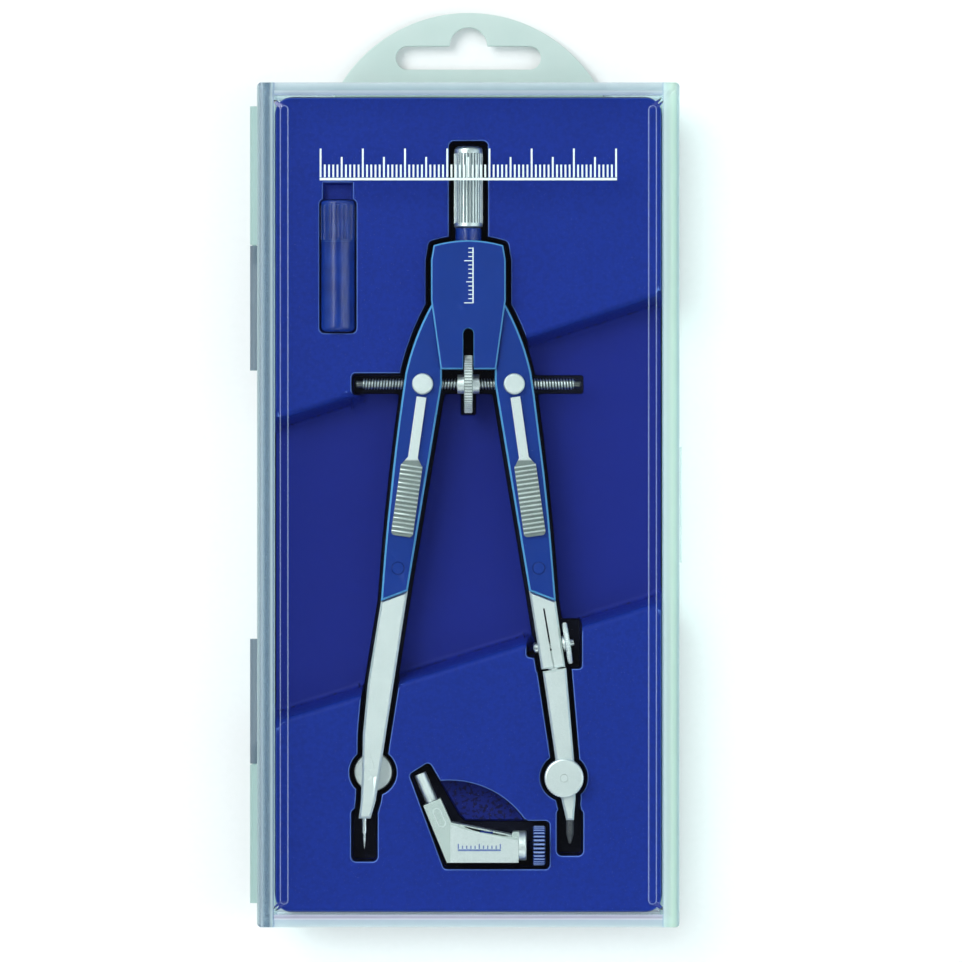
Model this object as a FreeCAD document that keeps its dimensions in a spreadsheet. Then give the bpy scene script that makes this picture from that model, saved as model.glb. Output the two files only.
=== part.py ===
import FreeCAD, Part
import math
import os
import re
import Sketcher

# A clear hinged case for a quick-setting masterbow compass, a lead tube and a pen adapter.
# Frame: millimetres, +Z up through the lid, +Y towards the hang tab, +X towards the latch.
# The origin is the centre of the base's underside. The compass lies with its axis on X = 0.

doc = FreeCAD.newDocument("DraftingInstrumentCase")

SIZES = {
    # case
    "case_width": 100.0,
    "case_length": 200.0,
    "base_height": 12.0,
    "lid_height": 12.0,
    "wall": 1.8,
    "corner_radius": 1.0,
    "lip_height": 2.0,
    "lip_wall": 0.9,
    "rim_gap": 0.15,
    "seam_gap": 0.05,
    "rib_inset": 5.5,
    "rib_width": 1.8,
    "rib_height": 0.4,
    "rib_end_inset": 5.5,
    "latch_length": 27.6,
    "latch_bead": 0.1,
    "latch_ledge": 0.8,
    # hinge
    "hinge_radius": 1.0,
    "hinge_gap": 0.1,
    "hinge_inner_start": 32.0,
    "hinge_inner_length": 29.8,
    "hinge_outer_length": 33.0,
    "hinge_end_gap": 0.2,
    "hinge_pin_radius": 0.5,
    "hinge_pin_length": 4.0,
    "running_fit": 0.05,
    # hang tab
    "tab_radius": 36.0,
    "tab_stand_out": 18.0,
    "tab_hidden": 30.0,
    "tab_thickness": 1.2,
    "tab_clearance": 0.12,
    "tab_side_gap": 0.4,
    "tab_guide": 1.0,
    "euro_half_width": 17.4,
    "euro_height": 5.6,
    "euro_drop": 13.6,
    "euro_bump_radius": 4.5,
    # insert
    "tray_top": 13.6,
    "tray_width": 92.0,
    "tray_length": 194.0,
    "tray_corner": 3.6,
    "sheet": 0.6,
    "tray_side_gap": 0.3,
    "tray_flare": 0.5,
    "kerb_gap": 0.15,
    "kerb_wall": 0.9,
    "kerb_top": 12.6,
    "kerb_end_inset": 4.5,
    "bed_gap": 1.3,
    "bed_drop": 0.4,
    "moat_floor": 5.6,
    "pad_gap": 0.1,
    "pad_radius": 1.6,
    "pad_height": -51.0,
    "pad_across": 22.0,
    "trough_floor": 6.0,
    "trough_upper": 34.85,
    "trough_lower": -37.25,
    "trough_rise": 0.327,
    "trough_fall": 0.31,
    # compass
    "compass_level": 12.8,
    "pivot_across": 3.6,
    "pivot_height": 46.0,
    "pivot_pin_radius": 1.2,
    "gear_tip_radius": 4.05,
    "gear_root_radius": 2.95,
    "gear_tooth": 0.3,
    "gear_tooth_foot": 0.6,
    "gear_teeth": 20,
    "gear_thickness": 2.4,
    "gear_tail_length": 9.0,
    "gear_tail_width": 3.4,
    "slip_fit": 0.1,
    # head
    "head_half_width": 8.9,
    "head_shoulder": 8.3,
    "head_top": 61.7,
    "head_crown": 1.2,
    "head_waist": 48.6,
    "head_foot": 32.2,
    "head_foot_half": 6.6,
    "cheek_gap": 0.2,
    "cover_thickness": 1.2,
    "head_wall": 1.2,
    "head_edge": 0.35,
    "head_slot_half": 1.25,
    "head_slot_top": 42.0,
    "cover_screw_radius": 0.8,
    # handle
    "neck_radius": 3.1,
    "neck_length": 2.9,
    "handle_radius": 3.4,
    "handle_length": 19.6,
    "handle_flutes": 26,
    "flute_radius": 0.3,
    "stud_radius": 1.4,
    "stud_length": 6.0,
    # spindle
    "spindle_height": 28.75,
    "spindle_radius": 1.33,
    "spindle_half": 25.2,
    "spindle_end_radius": 0.83,
    "spindle_end_length": 1.7,
    "wheel_radius": 6.9,
    "wheel_thickness": 2.1,
    "wheel_hub_radius": 2.3,
    "wheel_hub_length": 5.2,
    "wheel_knurls": 60,
    "knurl_radius": 0.22,
    "nut_across": 10.9,
    "nut_radius": 2.5,
    "nut_rise": 1.4,
    "thread_play": 0.14,
    # upper legs
    "leg_thickness": 6.2,
    "leg_out": 15.0,
    "leg_shoulder": 31.2,
    "leg_end_out": 20.8,
    "leg_end_height": -22.9,
    "leg_end_in": 14.45,
    "leg_end_step": 2.4,
    "leg_bow": 700.0,
    "leg_knee": 6.3,
    "leg_wall": 1.8,
    "leg_cheek_radius": 3.2,
    "rivet_across": 16.75,
    "rivet_rise": 7.8,
    "rivet_radius": 1.0,
    "rivet_fit": 0.03,
    "rivet_head_radius": 1.6,
    "rivet_head": 0.35,
    "leg_edge": 0.45,
    # levers
    "lever_angle": 8.1,
    "lever_top": 26.0,
    "lever_strip_length": 14.9,
    "lever_strip_width": 2.3,
    "lever_grip_length": 18.9,
    "lever_grip_width": 5.2,
    "lever_thickness": 0.8,
    "lever_ridge": 0.5,
    "lever_ridges": 16,
    "lever_pitch": 1.05,
    "lever_travel": 1.5,
    "lever_lift": 0.08,
    "tongue_width": 1.4,
    "tongue_length": 4.0,
    "tongue_depth": 3.0,
    "spring_radius": 0.9,
    # lower legs
    "metal_thickness": 4.6,
    "metal_edge": 0.5,
    "tang_thickness": 2.4,
    "tang_gap": 0.05,
    "tang_width": 4.2,
    "foot_height": -70.6,
    "foot_out": 25.6,
    "foot_in": 22.1,
    "shin_height": -41.8,
    "shin_out": 23.85,
    "shin_in": 17.7,
    "ankle_height": -54.6,
    "ankle_out": 25.1,
    "ankle_in": 19.9,
    "nose_length": 4.1,
    "needle_across": 24.8,
    "needle_radius": 0.55,
    "needle_fine_radius": 0.35,
    "needle_stand_out": 3.5,
    "needle_fine_length": 2.0,
    "needle_point_length": 1.9,
    "needle_inside": 13.0,
    "clamp_disc_radius": 4.7,
    "clamp_disc_thickness": 1.8,
    "clamp_across": 22.75,
    "clamp_height": -63.8,
    "clamp_screw_radius": 0.9,
    "disc_knurls": 48,
    "disc_gap": 0.2,
    # right socket and lead arm
    "socket_end": -38.6,
    "socket_end_out": 23.06,
    "socket_end_in": 17.4,
    "slit_width": 0.4,
    "slit_across": 17.65,
    "slit_lean": 9.7,
    "socket_screw_height": -33.0,
    "socket_screw_angle": 8.8,
    "socket_screw_radius": 0.8,
    "socket_screw_head": 1.3,
    "socket_screw_start": 16.4,
    "socket_screw_length": 8.8,
    "socket_washer_radius": 1.9,
    "socket_washer_thickness": 0.5,
    "socket_nut_radius": 4.95,
    "socket_nut_thickness": 1.2,
    "socket_nut_across": 23.6,
    "arm_pin_length": 4.6,
    "arm_pin_radius": 1.3,
    "pin_play": 0.03,
    "arm_gap": 0.25,
    "arm_start_out": 23.3,
    "arm_start_in": 17.7,
    "arm_foot_height": -69.9,
    "arm_foot_out": 25.5,
    "arm_foot_in": 22.1,
    "arm_calf_height": -60.2,
    "arm_calf_in": 20.8,
    "arm_calf_out": 25.1,
    "arm_nose_length": 5.2,
    "lead_across": 24.2,
    "lead_radius": 0.9,
    "lead_stand_out": 5.6,
    "lead_inside": 8.0,
    "lead_clamp_height": -65.0,
    # adapter
    "adapter_level": 12.0,
    "adapter_depth": 7.2,
    "adapter_left": -5.1,
    "adapter_right": 11.95,
    "adapter_bottom": -85.2,
    "adapter_top_left": -76.4,
    "adapter_top_right": -79.9,
    "adapter_elbow_across": -8.7,
    "adapter_elbow_height": -70.8,
    "adapter_lean": 23.0,
    "adapter_inner_corner": -4.3,
    "adapter_plate": 0.35,
    "adapter_block_width": 4.4,
    "adapter_pin_radius": 1.45,
    "adapter_pin_length": 7.2,
    "groove_half_width": 1.9,
    "collar_length": 1.95,
    "collar_radius": 3.55,
    "adapter_screw_radius": 1.3,
    "adapter_screw_inside": 9.0,
    "knob_neck": 1.5,
    "knob_radius": 4.7,
    "knob_thickness": 2.9,
    "knob_knurls": 30,
    "adapter_axis": -81.3,
    "adapter_bed_gap": 1.1,
    "adapter_bed_room": 0.6,
    "adapter_bed_bevel": 1.6,
    # lead tube
    "tube_across": -31.1,
    "tube_foot": 41.2,
    "tube_length": 21.5,
    "tube_radius": 4.1,
    "tube_wall": 0.9,
    "tube_end": 1.2,
    "tube_level": 12.0,
    "cap_length": 9.8,
    "cap_plug_length": 5.0,
    "cap_flutes": 14,
    "cap_flute_radius": 0.5,
    "spare_lead_radius": 1.0,
    "spare_lead_length": 19.0,
    "tube_bed_gap": 0.35,
    "scoop_length": 4.3,
    "thumb_radius": 21.8,
    "thumb_left": -8.0,
    "thumb_slant": 3.0,
    "thumb_across": -4.4,
    "thumb_height": -87.5,
    "thumb_floor": 6.5,
}

# Sizes that follow from the ones above, as formulas in the same sheet.
DERIVED = {
    "half_width": "case_width / 2",
    "half_length": "case_length / 2",
    "hinge_across": "-half_width - hinge_gap - hinge_radius",
    "hinge_outer_start": "hinge_inner_start + hinge_inner_length + hinge_end_gap",
    "lid_top": "base_height + lid_height",
    "tab_centre": "half_length + tab_stand_out - tab_radius",
    "tab_foot": "half_length - tab_hidden",
    "tab_bottom": "wall + tab_clearance",
    "tab_slot_half": "sqrt(tab_radius ^ 2 - (half_length - wall - tab_centre) ^ 2) + 0.3",
    "euro_centre": "half_length + tab_stand_out - euro_drop + euro_height / 2",
    "crown_radius": "(head_shoulder ^ 2 + head_crown ^ 2) / (2 * head_crown)",
    "head_depth": "leg_thickness + 2 * (cheek_gap + cover_thickness)",
    "neck_foot": "head_top + head_crown",
    "leg_half": "leg_thickness / 2",
    "lever_face": "leg_half + lever_lift",
    "lever_across": "nut_across + 0.2",
    "metal_half": "metal_thickness / 2",
    "foot_tip": "foot_height - nose_length",
    "arm_foot_tip": "arm_foot_height - arm_nose_length",
    "rivet_height": "leg_end_height + rivet_rise",
    "cap_top": "tube_foot + tube_length + cap_length",
    "tube_bore": "tube_radius - tube_wall",
}

sheet = doc.addObject("Spreadsheet::Sheet", "Sizes")
for row, (alias, content) in enumerate({**SIZES, **DERIVED}.items(), 1):
    sheet.set("A%d" % row, alias)
    sheet.set("B%d" % row, "=" + content if alias in DERIVED else str(content))
    sheet.setAlias("B%d" % row, alias)
doc.recompute()

ALIASES = set(SIZES) | set(DERIVED)
FULL_TURN = 360.0
V = FreeCAD.Vector
nodes = {}


def formula(text):
    # A formula in the sheet's words, as other objects read it.
    return re.sub(r"[a-z_]\w*", lambda m: "Sizes." + m[0] if m[0] in ALIASES else m[0], str(text))


def value(text):
    return float(sheet.evalExpression(str(text)))


def bind(thing, **properties):
    for name, text in properties.items():
        thing.setExpression(name.replace("__", "."), formula(text))


def place(thing, x="0", y="0", z="0", turn=None, axis=V(0, 0, 1)):
    # Moves a sub-part to x, y, z and turns it about an axis through that point.
    bind(thing, Placement__Base__x=x, Placement__Base__y=y, Placement__Base__z=z)
    if turn is not None:
        thing.Placement = FreeCAD.Placement(V(0, 0, 0), FreeCAD.Rotation(axis, 0.001))
        bind(thing, Placement__Rotation__Angle=turn)


def node(name, thing):
    thing.Label = name
    nodes[name] = thing
    return thing


# Outlines: lists of corners (x, y) or (x, y, radius), anticlockwise. A radius makes the edge that
# ends in that corner an arc, bulging outwards if positive. ("circle", x, y, radius) is a circle.


def mirrored(outline, side):
    if side > 0:
        return outline
    flipped = []
    for x, y, *radius in outline:
        flipped.append(("-(%s)" % x, y, *("-(%s)" % r for r in radius)))
    return flipped


def rectangle(x0, x1, y0, y1):
    return [(x0, y0), (x1, y0), (x1, y1), (x0, y1)]


def rounded(x0, x1, y0, y1, radius):
    left, right = "%s + %s" % (x0, radius), "%s - %s" % (x1, radius)
    low, high = "%s + %s" % (y0, radius), "%s - %s" % (y1, radius)
    return [
        (right, y0), (x1, low, radius), (x1, high), (right, y1, radius),
        (left, y1), (x0, high, radius), (x0, low), (left, y0, radius),
    ]


def arc_between(start, end, radius):
    # The circle arc from start to end: its circle, its two angles and whether it runs anticlockwise.
    along = end - start
    half = along.Length / 2
    right = V(along.y, -along.x, 0).normalize()
    side = 1 if radius > 0 else -1
    centre = (start + end) * 0.5 - right * side * math.sqrt(radius ** 2 - half ** 2)
    angles = [math.atan2(p.y - centre.y, p.x - centre.x) for p in (start, end)]
    if side < 0:
        angles.reverse()
    if angles[1] < angles[0]:
        angles[1] += 2 * math.pi
    return Part.Circle(centre, V(0, 0, 1), abs(radius)), angles, side > 0


def edge_geometry(start, end, radius):
    if radius is None:
        return Part.LineSegment(start, end), (1, 2)
    circle, angles, forward = arc_between(start, end, radius)
    return Part.ArcOfCircle(circle, *angles), (1, 2) if forward else (2, 1)


def corner_points(outline):
    return [V(value(corner[0]), value(corner[1]), 0) for corner in outline]


def radius_of(corner):
    return value(corner[2]) if len(corner) > 2 else None


def face(outline):
    # The same outline as a plain face on Z = 0.
    if outline[0] == "circle":
        centre = V(value(outline[1]), value(outline[2]), 0)
        return Part.Face(Part.Wire(Part.Circle(centre, V(0, 0, 1), value(outline[3])).toShape()))
    points = corner_points(outline)
    edges = []
    for index, corner in enumerate(outline):
        geometry, _ = edge_geometry(points[index - 1], points[index], radius_of(corner))
        edges.append(geometry.toShape())
    return Part.Face(Part.Wire(Part.__sortEdges__(edges)))


def pin_down(sketch, element, point, x, y, at):
    for kind, axis, text, coordinate in (("DistanceX", -2, x, at.x), ("DistanceY", -1, y, at.y)):
        if text == "0":
            sketch.addConstraint(Sketcher.Constraint("PointOnObject", element, point, axis))
            continue
        index = sketch.addConstraint(Sketcher.Constraint(kind, -1, 1, element, point, coordinate))
        sketch.setExpression("Constraints[%d]" % index, formula(text))


def hold_radius(sketch, element, text):
    index = sketch.addConstraint(Sketcher.Constraint("Radius", element, abs(value(text))))
    sketch.setExpression("Constraints[%d]" % index, formula("abs(%s)" % text))


def draw_circle(sketch, circle):
    _, x, y, radius = circle
    at = V(value(x), value(y), 0)
    element = sketch.addGeometry(Part.Circle(at, V(0, 0, 1), value(radius)))
    hold_radius(sketch, element, radius)
    pin_down(sketch, element, 3, x, y, at)


def draw_corners(sketch, outline):
    points = corner_points(outline)
    drawn = []
    for index, corner in enumerate(outline):
        geometry, ends = edge_geometry(points[index - 1], points[index], radius_of(corner))
        drawn.append((sketch.addGeometry(geometry), ends))
    for index, (element, (_, end)) in enumerate(drawn):
        following, (start, _) = drawn[(index + 1) % len(drawn)]
        sketch.addConstraint(Sketcher.Constraint("Coincident", element, end, following, start))
        pin_down(sketch, element, end, outline[index][0], outline[index][1], points[index])
        if len(outline[index]) > 2:
            hold_radius(sketch, element, outline[index][2])


def sketch_on(body, outline, level="0", role="XY_Plane"):
    sketch = body.newObject("Sketcher::SketchObject", body.Name + "_sketch")
    plane = next(f for f in body.Origin.OriginFeatures if f.Role == role)
    sketch.AttachmentSupport = [(plane, "")]
    sketch.MapMode = "FlatFace"
    bind(sketch, AttachmentOffset__Base__z=level)
    if outline[0] == "circle":
        draw_circle(sketch, outline)
    else:
        draw_corners(sketch, outline)
    return sketch


def new_body(name):
    return doc.addObject("PartDesign::Body", name)


def pad(body, outline, bottom, top):
    feature = body.newObject("PartDesign::Pad", body.Name + "_pad")
    feature.Profile = sketch_on(body, outline, bottom)
    bind(feature, Length="%s - (%s)" % (top, bottom))
    return feature


def pocket(body, outline, bottom, top):
    # Cuts from the top level down to the bottom level.
    feature = body.newObject("PartDesign::Pocket", body.Name + "_pocket")
    feature.Profile = sketch_on(body, outline, top)
    bind(feature, Length="%s - (%s)" % (top, bottom))
    return feature


def turned(body, profile):
    # Turns a half section, x along the axis and y the radius, about the body's own X axis.
    feature = body.newObject("PartDesign::Revolution", body.Name + "_turned")
    feature.Profile = sketch_on(body, profile)
    feature.ReferenceAxis = (feature.Profile[0], ["H_Axis"])
    feature.Angle = FULL_TURN
    return feature


def fluted(body, count, depth_radius, radius, start, length):
    # Cuts round grooves along the body's X axis and repeats them round it.
    groove = body.newObject("PartDesign::Pocket", body.Name + "_groove")
    groove.Profile = sketch_on(body, ("circle", "0", radius, depth_radius), start, "YZ_Plane")
    groove.Reversed = True
    bind(groove, Length=length)
    pattern = body.newObject("PartDesign::PolarPattern", body.Name + "_flutes")
    pattern.Originals = [groove]
    axis = next(f for f in body.Origin.OriginFeatures if f.Role == "X_Axis")
    pattern.Axis = (axis, [""])
    pattern.Angle = FULL_TURN
    bind(pattern, Occurrences=count)
    body.Tip = pattern


def soften(body, size, wanted, kind="Chamfer"):
    # Breaks those edges of the body so far for which wanted(edge) is true.
    doc.recompute()
    base = body.Tip
    names = ["Edge%d" % (i + 1) for i, edge in enumerate(base.Shape.Edges) if wanted(edge)]
    feature = body.newObject("PartDesign::" + kind, body.Name + "_edges")
    feature.Base = (base, names)
    bind(feature, **{"Size" if kind == "Chamfer" else "Radius": size})
    doc.recompute()


def on_level(level, smallest=0.6):
    # A test for edges that lie wholly on one local level.
    def wanted(edge):
        box = edge.BoundBox
        return abs(box.ZMin - level) < 1e-4 and abs(box.ZMax - level) < 1e-4 and edge.Length > smallest
    return wanted


def along_x(body, x, y, z, turn="0"):
    # Stands a turned body with its axis in the XY plane, turned from +X by an angle.
    place(body, x, y, z, turn)


def along_y(body, x, y, z):
    place(body, x, y, z, "90")


def along_z(body, x, y, z):
    place(body, x, y, z, "-90", V(0, 1, 0))


def rod(name, start, end, radius):
    # A plain round rod or bore from start to end along its own X axis.
    body = new_body(name)
    turned(body, [(start, "0"), (end, "0"), (end, radius), (start, radius)])
    return body


def box(name, x0, x1, y0, y1, z0, z1):
    thing = doc.addObject("Part::Box", name)
    spans = {"Length": (x0, x1), "Width": (y0, y1), "Height": (z0, z1)}
    bind(thing, **{key: "%s - (%s)" % (high, low) for key, (low, high) in spans.items()})
    place(thing, x0, y0, z0)
    return thing


def rod_along_y(name, x, y0, y1, z, radius):
    thing = doc.addObject("Part::Cylinder", name)
    bind(thing, Radius=radius, Height="%s - (%s)" % (y1, y0))
    place(thing, x, y0, z, "-90", V(1, 0, 0))
    return thing


def fuse(name, things):
    thing = doc.addObject("Part::MultiFuse", name)
    thing.Shapes = things
    thing.Refine = True
    return thing


def cut(name, base, tool):
    thing = doc.addObject("Part::Cut", name)
    thing.Base = base
    thing.Tool = tool
    thing.Refine = True
    return thing


# ---------------------------------------------------------------- case


def shell_outline(inset):
    return rounded(
        "-half_width + (%s)" % inset, "half_width - (%s)" % inset,
        "-half_length + (%s)" % inset, "half_length - (%s)" % inset, "corner_radius",
    )


def knuckle(name, side, start, length):
    # One hinge barrel on the +Y or -Y half, from its inner end outwards.
    low = start if side > 0 else "-(%s) - (%s)" % (start, length)
    high = "%s + %s" % (low, length)
    return rod_along_y(name, "hinge_across", low, high, "base_height", "hinge_radius"), low, high


def hinge_web(name, low, high, z0, z1):
    return box(name, "hinge_across", "-half_width + wall / 2", low, high, z0, z1)


def make_base():
    shell = new_body("base_shell")
    pad(shell, shell_outline("0"), "0", "base_height")
    pad(shell, shell_outline("wall - lip_wall"), "base_height", "base_height + lip_height")
    pocket(shell, shell_outline("wall"), "wall", "base_height + lip_height")
    added = [shell]
    bores = []
    for side in (1, -1):
        mark = "upper" if side > 0 else "lower"
        barrel, low, high = knuckle("base_barrel_" + mark, side, "hinge_inner_start", "hinge_inner_length")
        added += [
            barrel,
            hinge_web("base_web_" + mark, low, high, "base_height - hinge_radius", "base_height - 0.3"),
        ]
        bore_low, bore_high = ("%s - hinge_pin_length - 0.5" % high, high) if side > 0 else (
            low, "%s + hinge_pin_length + 0.5" % low)
        bores.append(rod_along_y(
            "hinge_bore_" + mark, "hinge_across", bore_low, bore_high, "base_height",
            "hinge_pin_radius + running_fit"))
    ledge_face = "half_width - wall + lip_wall"
    added.append(box(
        "latch_bead", ledge_face + " - 0.2", ledge_face + " + latch_bead", "-latch_length / 2",
        "latch_length / 2", "base_height + lip_height / 2 - 0.3", "base_height + lip_height / 2 + 0.3"))
    for side in ("-", ""):
        inner, outer = "tab_radius + tab_side_gap", "tab_radius + tab_side_gap + tab_guide"
        ends = (inner, outer) if side == "" else ("-(%s)" % outer, "-(%s)" % inner)
        added.append(box(
            "tab_guide" + side.replace("-", "_left"), *ends, "tab_foot - tab_stand_out",
            "half_length - wall",
            "wall - 0.2", "tab_bottom + tab_thickness"))
    kerb_inner = "tray_width / 2 + tray_flare + kerb_gap"
    for side, mark in ((1, "right"), (-1, "left")):
        ends = (kerb_inner, kerb_inner + " + kerb_wall")
        if side < 0:
            ends = ("-(%s + kerb_wall)" % kerb_inner, "-(%s)" % kerb_inner)
        added.append(box(
            "kerb_" + mark, *ends, "-half_length + kerb_end_inset", "half_length - kerb_end_inset",
            "wall - 0.2", "kerb_top"))
    slot = box(
        "tab_slot", "-tab_slot_half", "tab_slot_half", "half_length - wall - 0.5", "half_length + 0.5",
        "tab_bottom - tab_clearance", "tab_bottom + tab_thickness + tab_clearance")
    scoop = box(
        "finger_recess", "half_width - latch_ledge", "half_width + 1", "-latch_length / 2",
        "latch_length / 2", "base_height - 3.2", "base_height + 0.01")
    return node(
        "case_base",
        cut("base_cut", fuse("base_solid", added), fuse("base_tools", [*bores, slot, scoop])),
    )


def make_lid():
    shell = new_body("lid_shell")
    pad(shell, shell_outline("0"), "base_height + seam_gap", "lid_top")
    pocket(shell, shell_outline("wall"), "base_height", "lid_top - wall")
    pocket(
        shell, shell_outline("wall - lip_wall - rim_gap"), "base_height",
        "base_height + lip_height + rim_gap",
    )
    for side in (1, -1):
        inner, outer = "half_width - rib_inset - rib_width", "half_width - rib_inset"
        across = (inner, outer) if side > 0 else ("-(%s)" % outer, "-(%s)" % inner)
        pad(
            shell,
            rounded(
                *across, "-half_length + rib_end_inset", "half_length - rib_end_inset",
                "rib_width / 2.01",
            ),
            "lid_top - 0.2", "lid_top + rib_height")
    added = [shell]
    for side in (1, -1):
        mark = "upper" if side > 0 else "lower"
        barrel, low, high = knuckle("lid_barrel_" + mark, side, "hinge_outer_start", "hinge_outer_length")
        added += [
            barrel,
            hinge_web("lid_web_" + mark, low, high, "base_height + 0.3", "base_height + hinge_radius"),
        ]
        pin_low, pin_high = ("%s - hinge_pin_length" % low, "%s + 1" % low) if side > 0 else (
            "%s - 1" % high, "%s + hinge_pin_length" % high)
        added.append(rod_along_y(
            "hinge_stub_" + mark, "hinge_across", pin_low, pin_high, "base_height", "hinge_pin_radius"))
    ledge = box(
        "thumb_ledge", "half_width - 0.2", "half_width + latch_ledge", "-latch_length / 2",
        "latch_length / 2", "base_height + seam_gap", "base_height + 1.6")
    added.append(ledge)
    return node("case_lid", fuse("lid_solid", added))


def make_tab():
    tab = new_body("tab_plate")
    top, bottom = "tab_bottom + tab_thickness", "tab_bottom"
    half = "sqrt(tab_radius ^ 2 - (tab_foot - tab_centre) ^ 2)"
    outline = [
        ("-" + half, "tab_foot"), (half, "tab_foot"),
        ("0", "tab_centre + tab_radius", "tab_radius"), ("-" + half, "tab_foot", "tab_radius"),
    ][1:]
    pad(tab, outline, bottom, top)
    high, low = "euro_centre + euro_height / 2", "euro_centre - euro_height / 2"
    reach = "euro_half_width - euro_height / 2"
    slot = [
        ("-(%s)" % reach, low), (reach, low), ("euro_half_width", "euro_centre", "euro_height / 2"),
        (reach, high, "euro_height / 2"), ("-(%s)" % reach, high),
        ("-euro_half_width", "euro_centre", "euro_height / 2"), ("-(%s)" % reach, low, "euro_height / 2"),
    ][1:]
    pocket(tab, slot, bottom, top)
    pocket(tab, ("circle", "0", high, "euro_bump_radius"), bottom, top)
    return node("hang_tab", tab)


# ---------------------------------------------------------------- compass head


def head_outline():
    return [
        ("-head_foot_half", "head_foot"), ("head_foot_half", "head_foot"),
        ("head_half_width", "head_waist"),
        ("head_half_width", "head_top - 3.5"), ("head_shoulder", "head_top"),
        ("-head_shoulder", "head_top", "crown_radius"), ("-head_half_width", "head_top - 3.5"),
        ("-head_half_width", "head_waist"),
    ]


def head_slot_outline():
    return [
        ("head_slot_half", "head_foot - 1"), ("head_slot_half", "head_slot_top - head_slot_half"),
        ("0", "head_slot_top", "head_slot_half"),
        ("-head_slot_half", "head_slot_top - head_slot_half", "head_slot_half"),
        ("-head_slot_half", "head_foot - 1"),
    ]


def make_head():
    half = "head_depth / 2"
    inner = "head_depth / 2 - cover_thickness"
    cover = new_body("cover_plate")
    pad(cover, head_outline(), inner, half)
    soften(cover, "head_edge", on_level(value(half)))
    pocket(cover, head_slot_outline(), inner, half)
    for side in ("-", ""):
        pocket(
            cover, ("circle", side + "head_shoulder / 1.6", "head_top - 4", "cover_screw_radius"), inner,
            half + " - 0.5",
        )
    place(cover, z="compass_level")
    node("head_cover", cover)

    body = new_body("head_frame")
    pad(body, head_outline(), "-(%s)" % half, inner)
    soften(body, "head_edge", on_level(-value(half)))
    cheek = [
        ("-head_half_width + head_wall", "head_waist - 6"),
        ("head_half_width - head_wall", "head_waist - 6"),
        ("head_half_width - head_wall", "pivot_height + 7"),
        ("-head_half_width + head_wall", "pivot_height + 7"),
    ]
    pocket(body, cheek, "-(%s)" % inner, inner)
    below = rectangle("-head_half_width - 1", "head_half_width + 1", "head_foot - 1", "head_waist")
    pocket(body, below, "-(%s)" % inner, inner)
    pocket(body, head_slot_outline(), "-(%s)" % half, inner)
    for side in ("-", ""):
        pocket(
            body, ("circle", side + "head_shoulder / 1.6", "head_top - 4", "cover_screw_radius"),
            "-(%s)" % half, inner)
        pocket(
            body, ("circle", side + "pivot_across", "pivot_height", "pivot_pin_radius"), "-(%s)" % half,
            "0",
        )
    pocket(
        body, rectangle("-stud_radius", "stud_radius", "neck_foot - stud_length", "neck_foot + 1"),
        "-stud_radius", "stud_radius")
    place(body, z="compass_level")
    node("head_body", body)

    screws = []
    pins = []
    for side in ("-", ""):
        mark = "left" if side else "right"
        screw = new_body("cover_screw_" + mark)
        turned(screw, [
            ("-head_depth / 2 + 0.3", "0"), ("head_depth / 2 - 0.6", "0"),
            ("head_depth / 2 - 0.6", "cover_screw_radius"), ("-head_depth / 2 + 0.3", "cover_screw_radius"),
        ])
        along_z(screw, side + "head_shoulder / 1.6", "head_top - 4", "compass_level")
        screws.append(screw)
        pin = new_body("pivot_pin_" + mark)
        turned(pin, [
            ("-head_depth / 2 + 0.3", "0"), (inner, "0"), (inner, "pivot_pin_radius"),
            ("-head_depth / 2 + 0.3", "pivot_pin_radius"),
        ])
        along_z(pin, side + "pivot_across", "pivot_height", "compass_level")
        pins.append(pin)
    node("head_screws", group("screw_pair", screws))
    node("leg_pivot_pins", group("pin_pair", pins))


def group(name, things):
    thing = doc.addObject("Part::Compound", name)
    thing.Links = things
    return thing


def make_handle():
    stud = new_body("stud_rod")
    turned(stud, [
        ("-stud_length", "0"), ("neck_length + stud_length", "0"),
        ("neck_length + stud_length", "stud_radius - 0.05"),
        ("neck_length", "stud_radius - 0.05"), ("neck_length", "neck_radius"), ("0.02", "neck_radius"),
        ("0.02", "stud_radius - 0.05"), ("-stud_length", "stud_radius - 0.05"),
    ])
    along_y(stud, "0", "neck_foot", "compass_level")
    node("handle_neck", stud)
    handle = new_body("handle_barrel")
    turned(handle, [
        ("0", "stud_radius"), ("stud_length + 0.1", "stud_radius"), ("stud_length + 0.1", "0"),
        ("handle_length", "0"), ("handle_length", "handle_radius - 1.1"),
        ("handle_length - 1.1", "handle_radius", "1.1"), ("0.5", "handle_radius"),
        ("0", "handle_radius - 0.5"),
    ])
    fluted(handle, "handle_flutes", "flute_radius", "handle_radius + 0.05", "1.3", "handle_length - 3.0")
    along_y(handle, "0", "neck_foot + neck_length", "compass_level")
    node("compass_handle", handle)


# ---------------------------------------------------------------- legs


def leg_outline(side):
    # The upper leg from its end, up the outer edge, round the pivot and down the inner edge.
    return mirrored([
        ("leg_end_in", "leg_end_height + leg_end_step"),
        ("leg_end_out", "leg_end_height"),
        ("leg_out", "leg_shoulder", "leg_bow"),
        ("head_half_width - 0.3", "head_waist - 0.6", "60"),
        ("pivot_across + leg_cheek_radius * 0.5", "pivot_height + leg_cheek_radius * 0.866"),
        ("pivot_across - leg_cheek_radius", "pivot_height", "leg_cheek_radius"),
        (
            "pivot_across - leg_cheek_radius * 0.5", "pivot_height - leg_cheek_radius * 0.866",
            "leg_cheek_radius",
        ),
        ("leg_knee", "head_foot"),
        ("leg_knee", "spindle_height"),
        ("leg_knee + 1.2", "spindle_height - 7.5"),
    ], side)


def sided(x, side):
    return x if side > 0 else "-(%s)" % x


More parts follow.
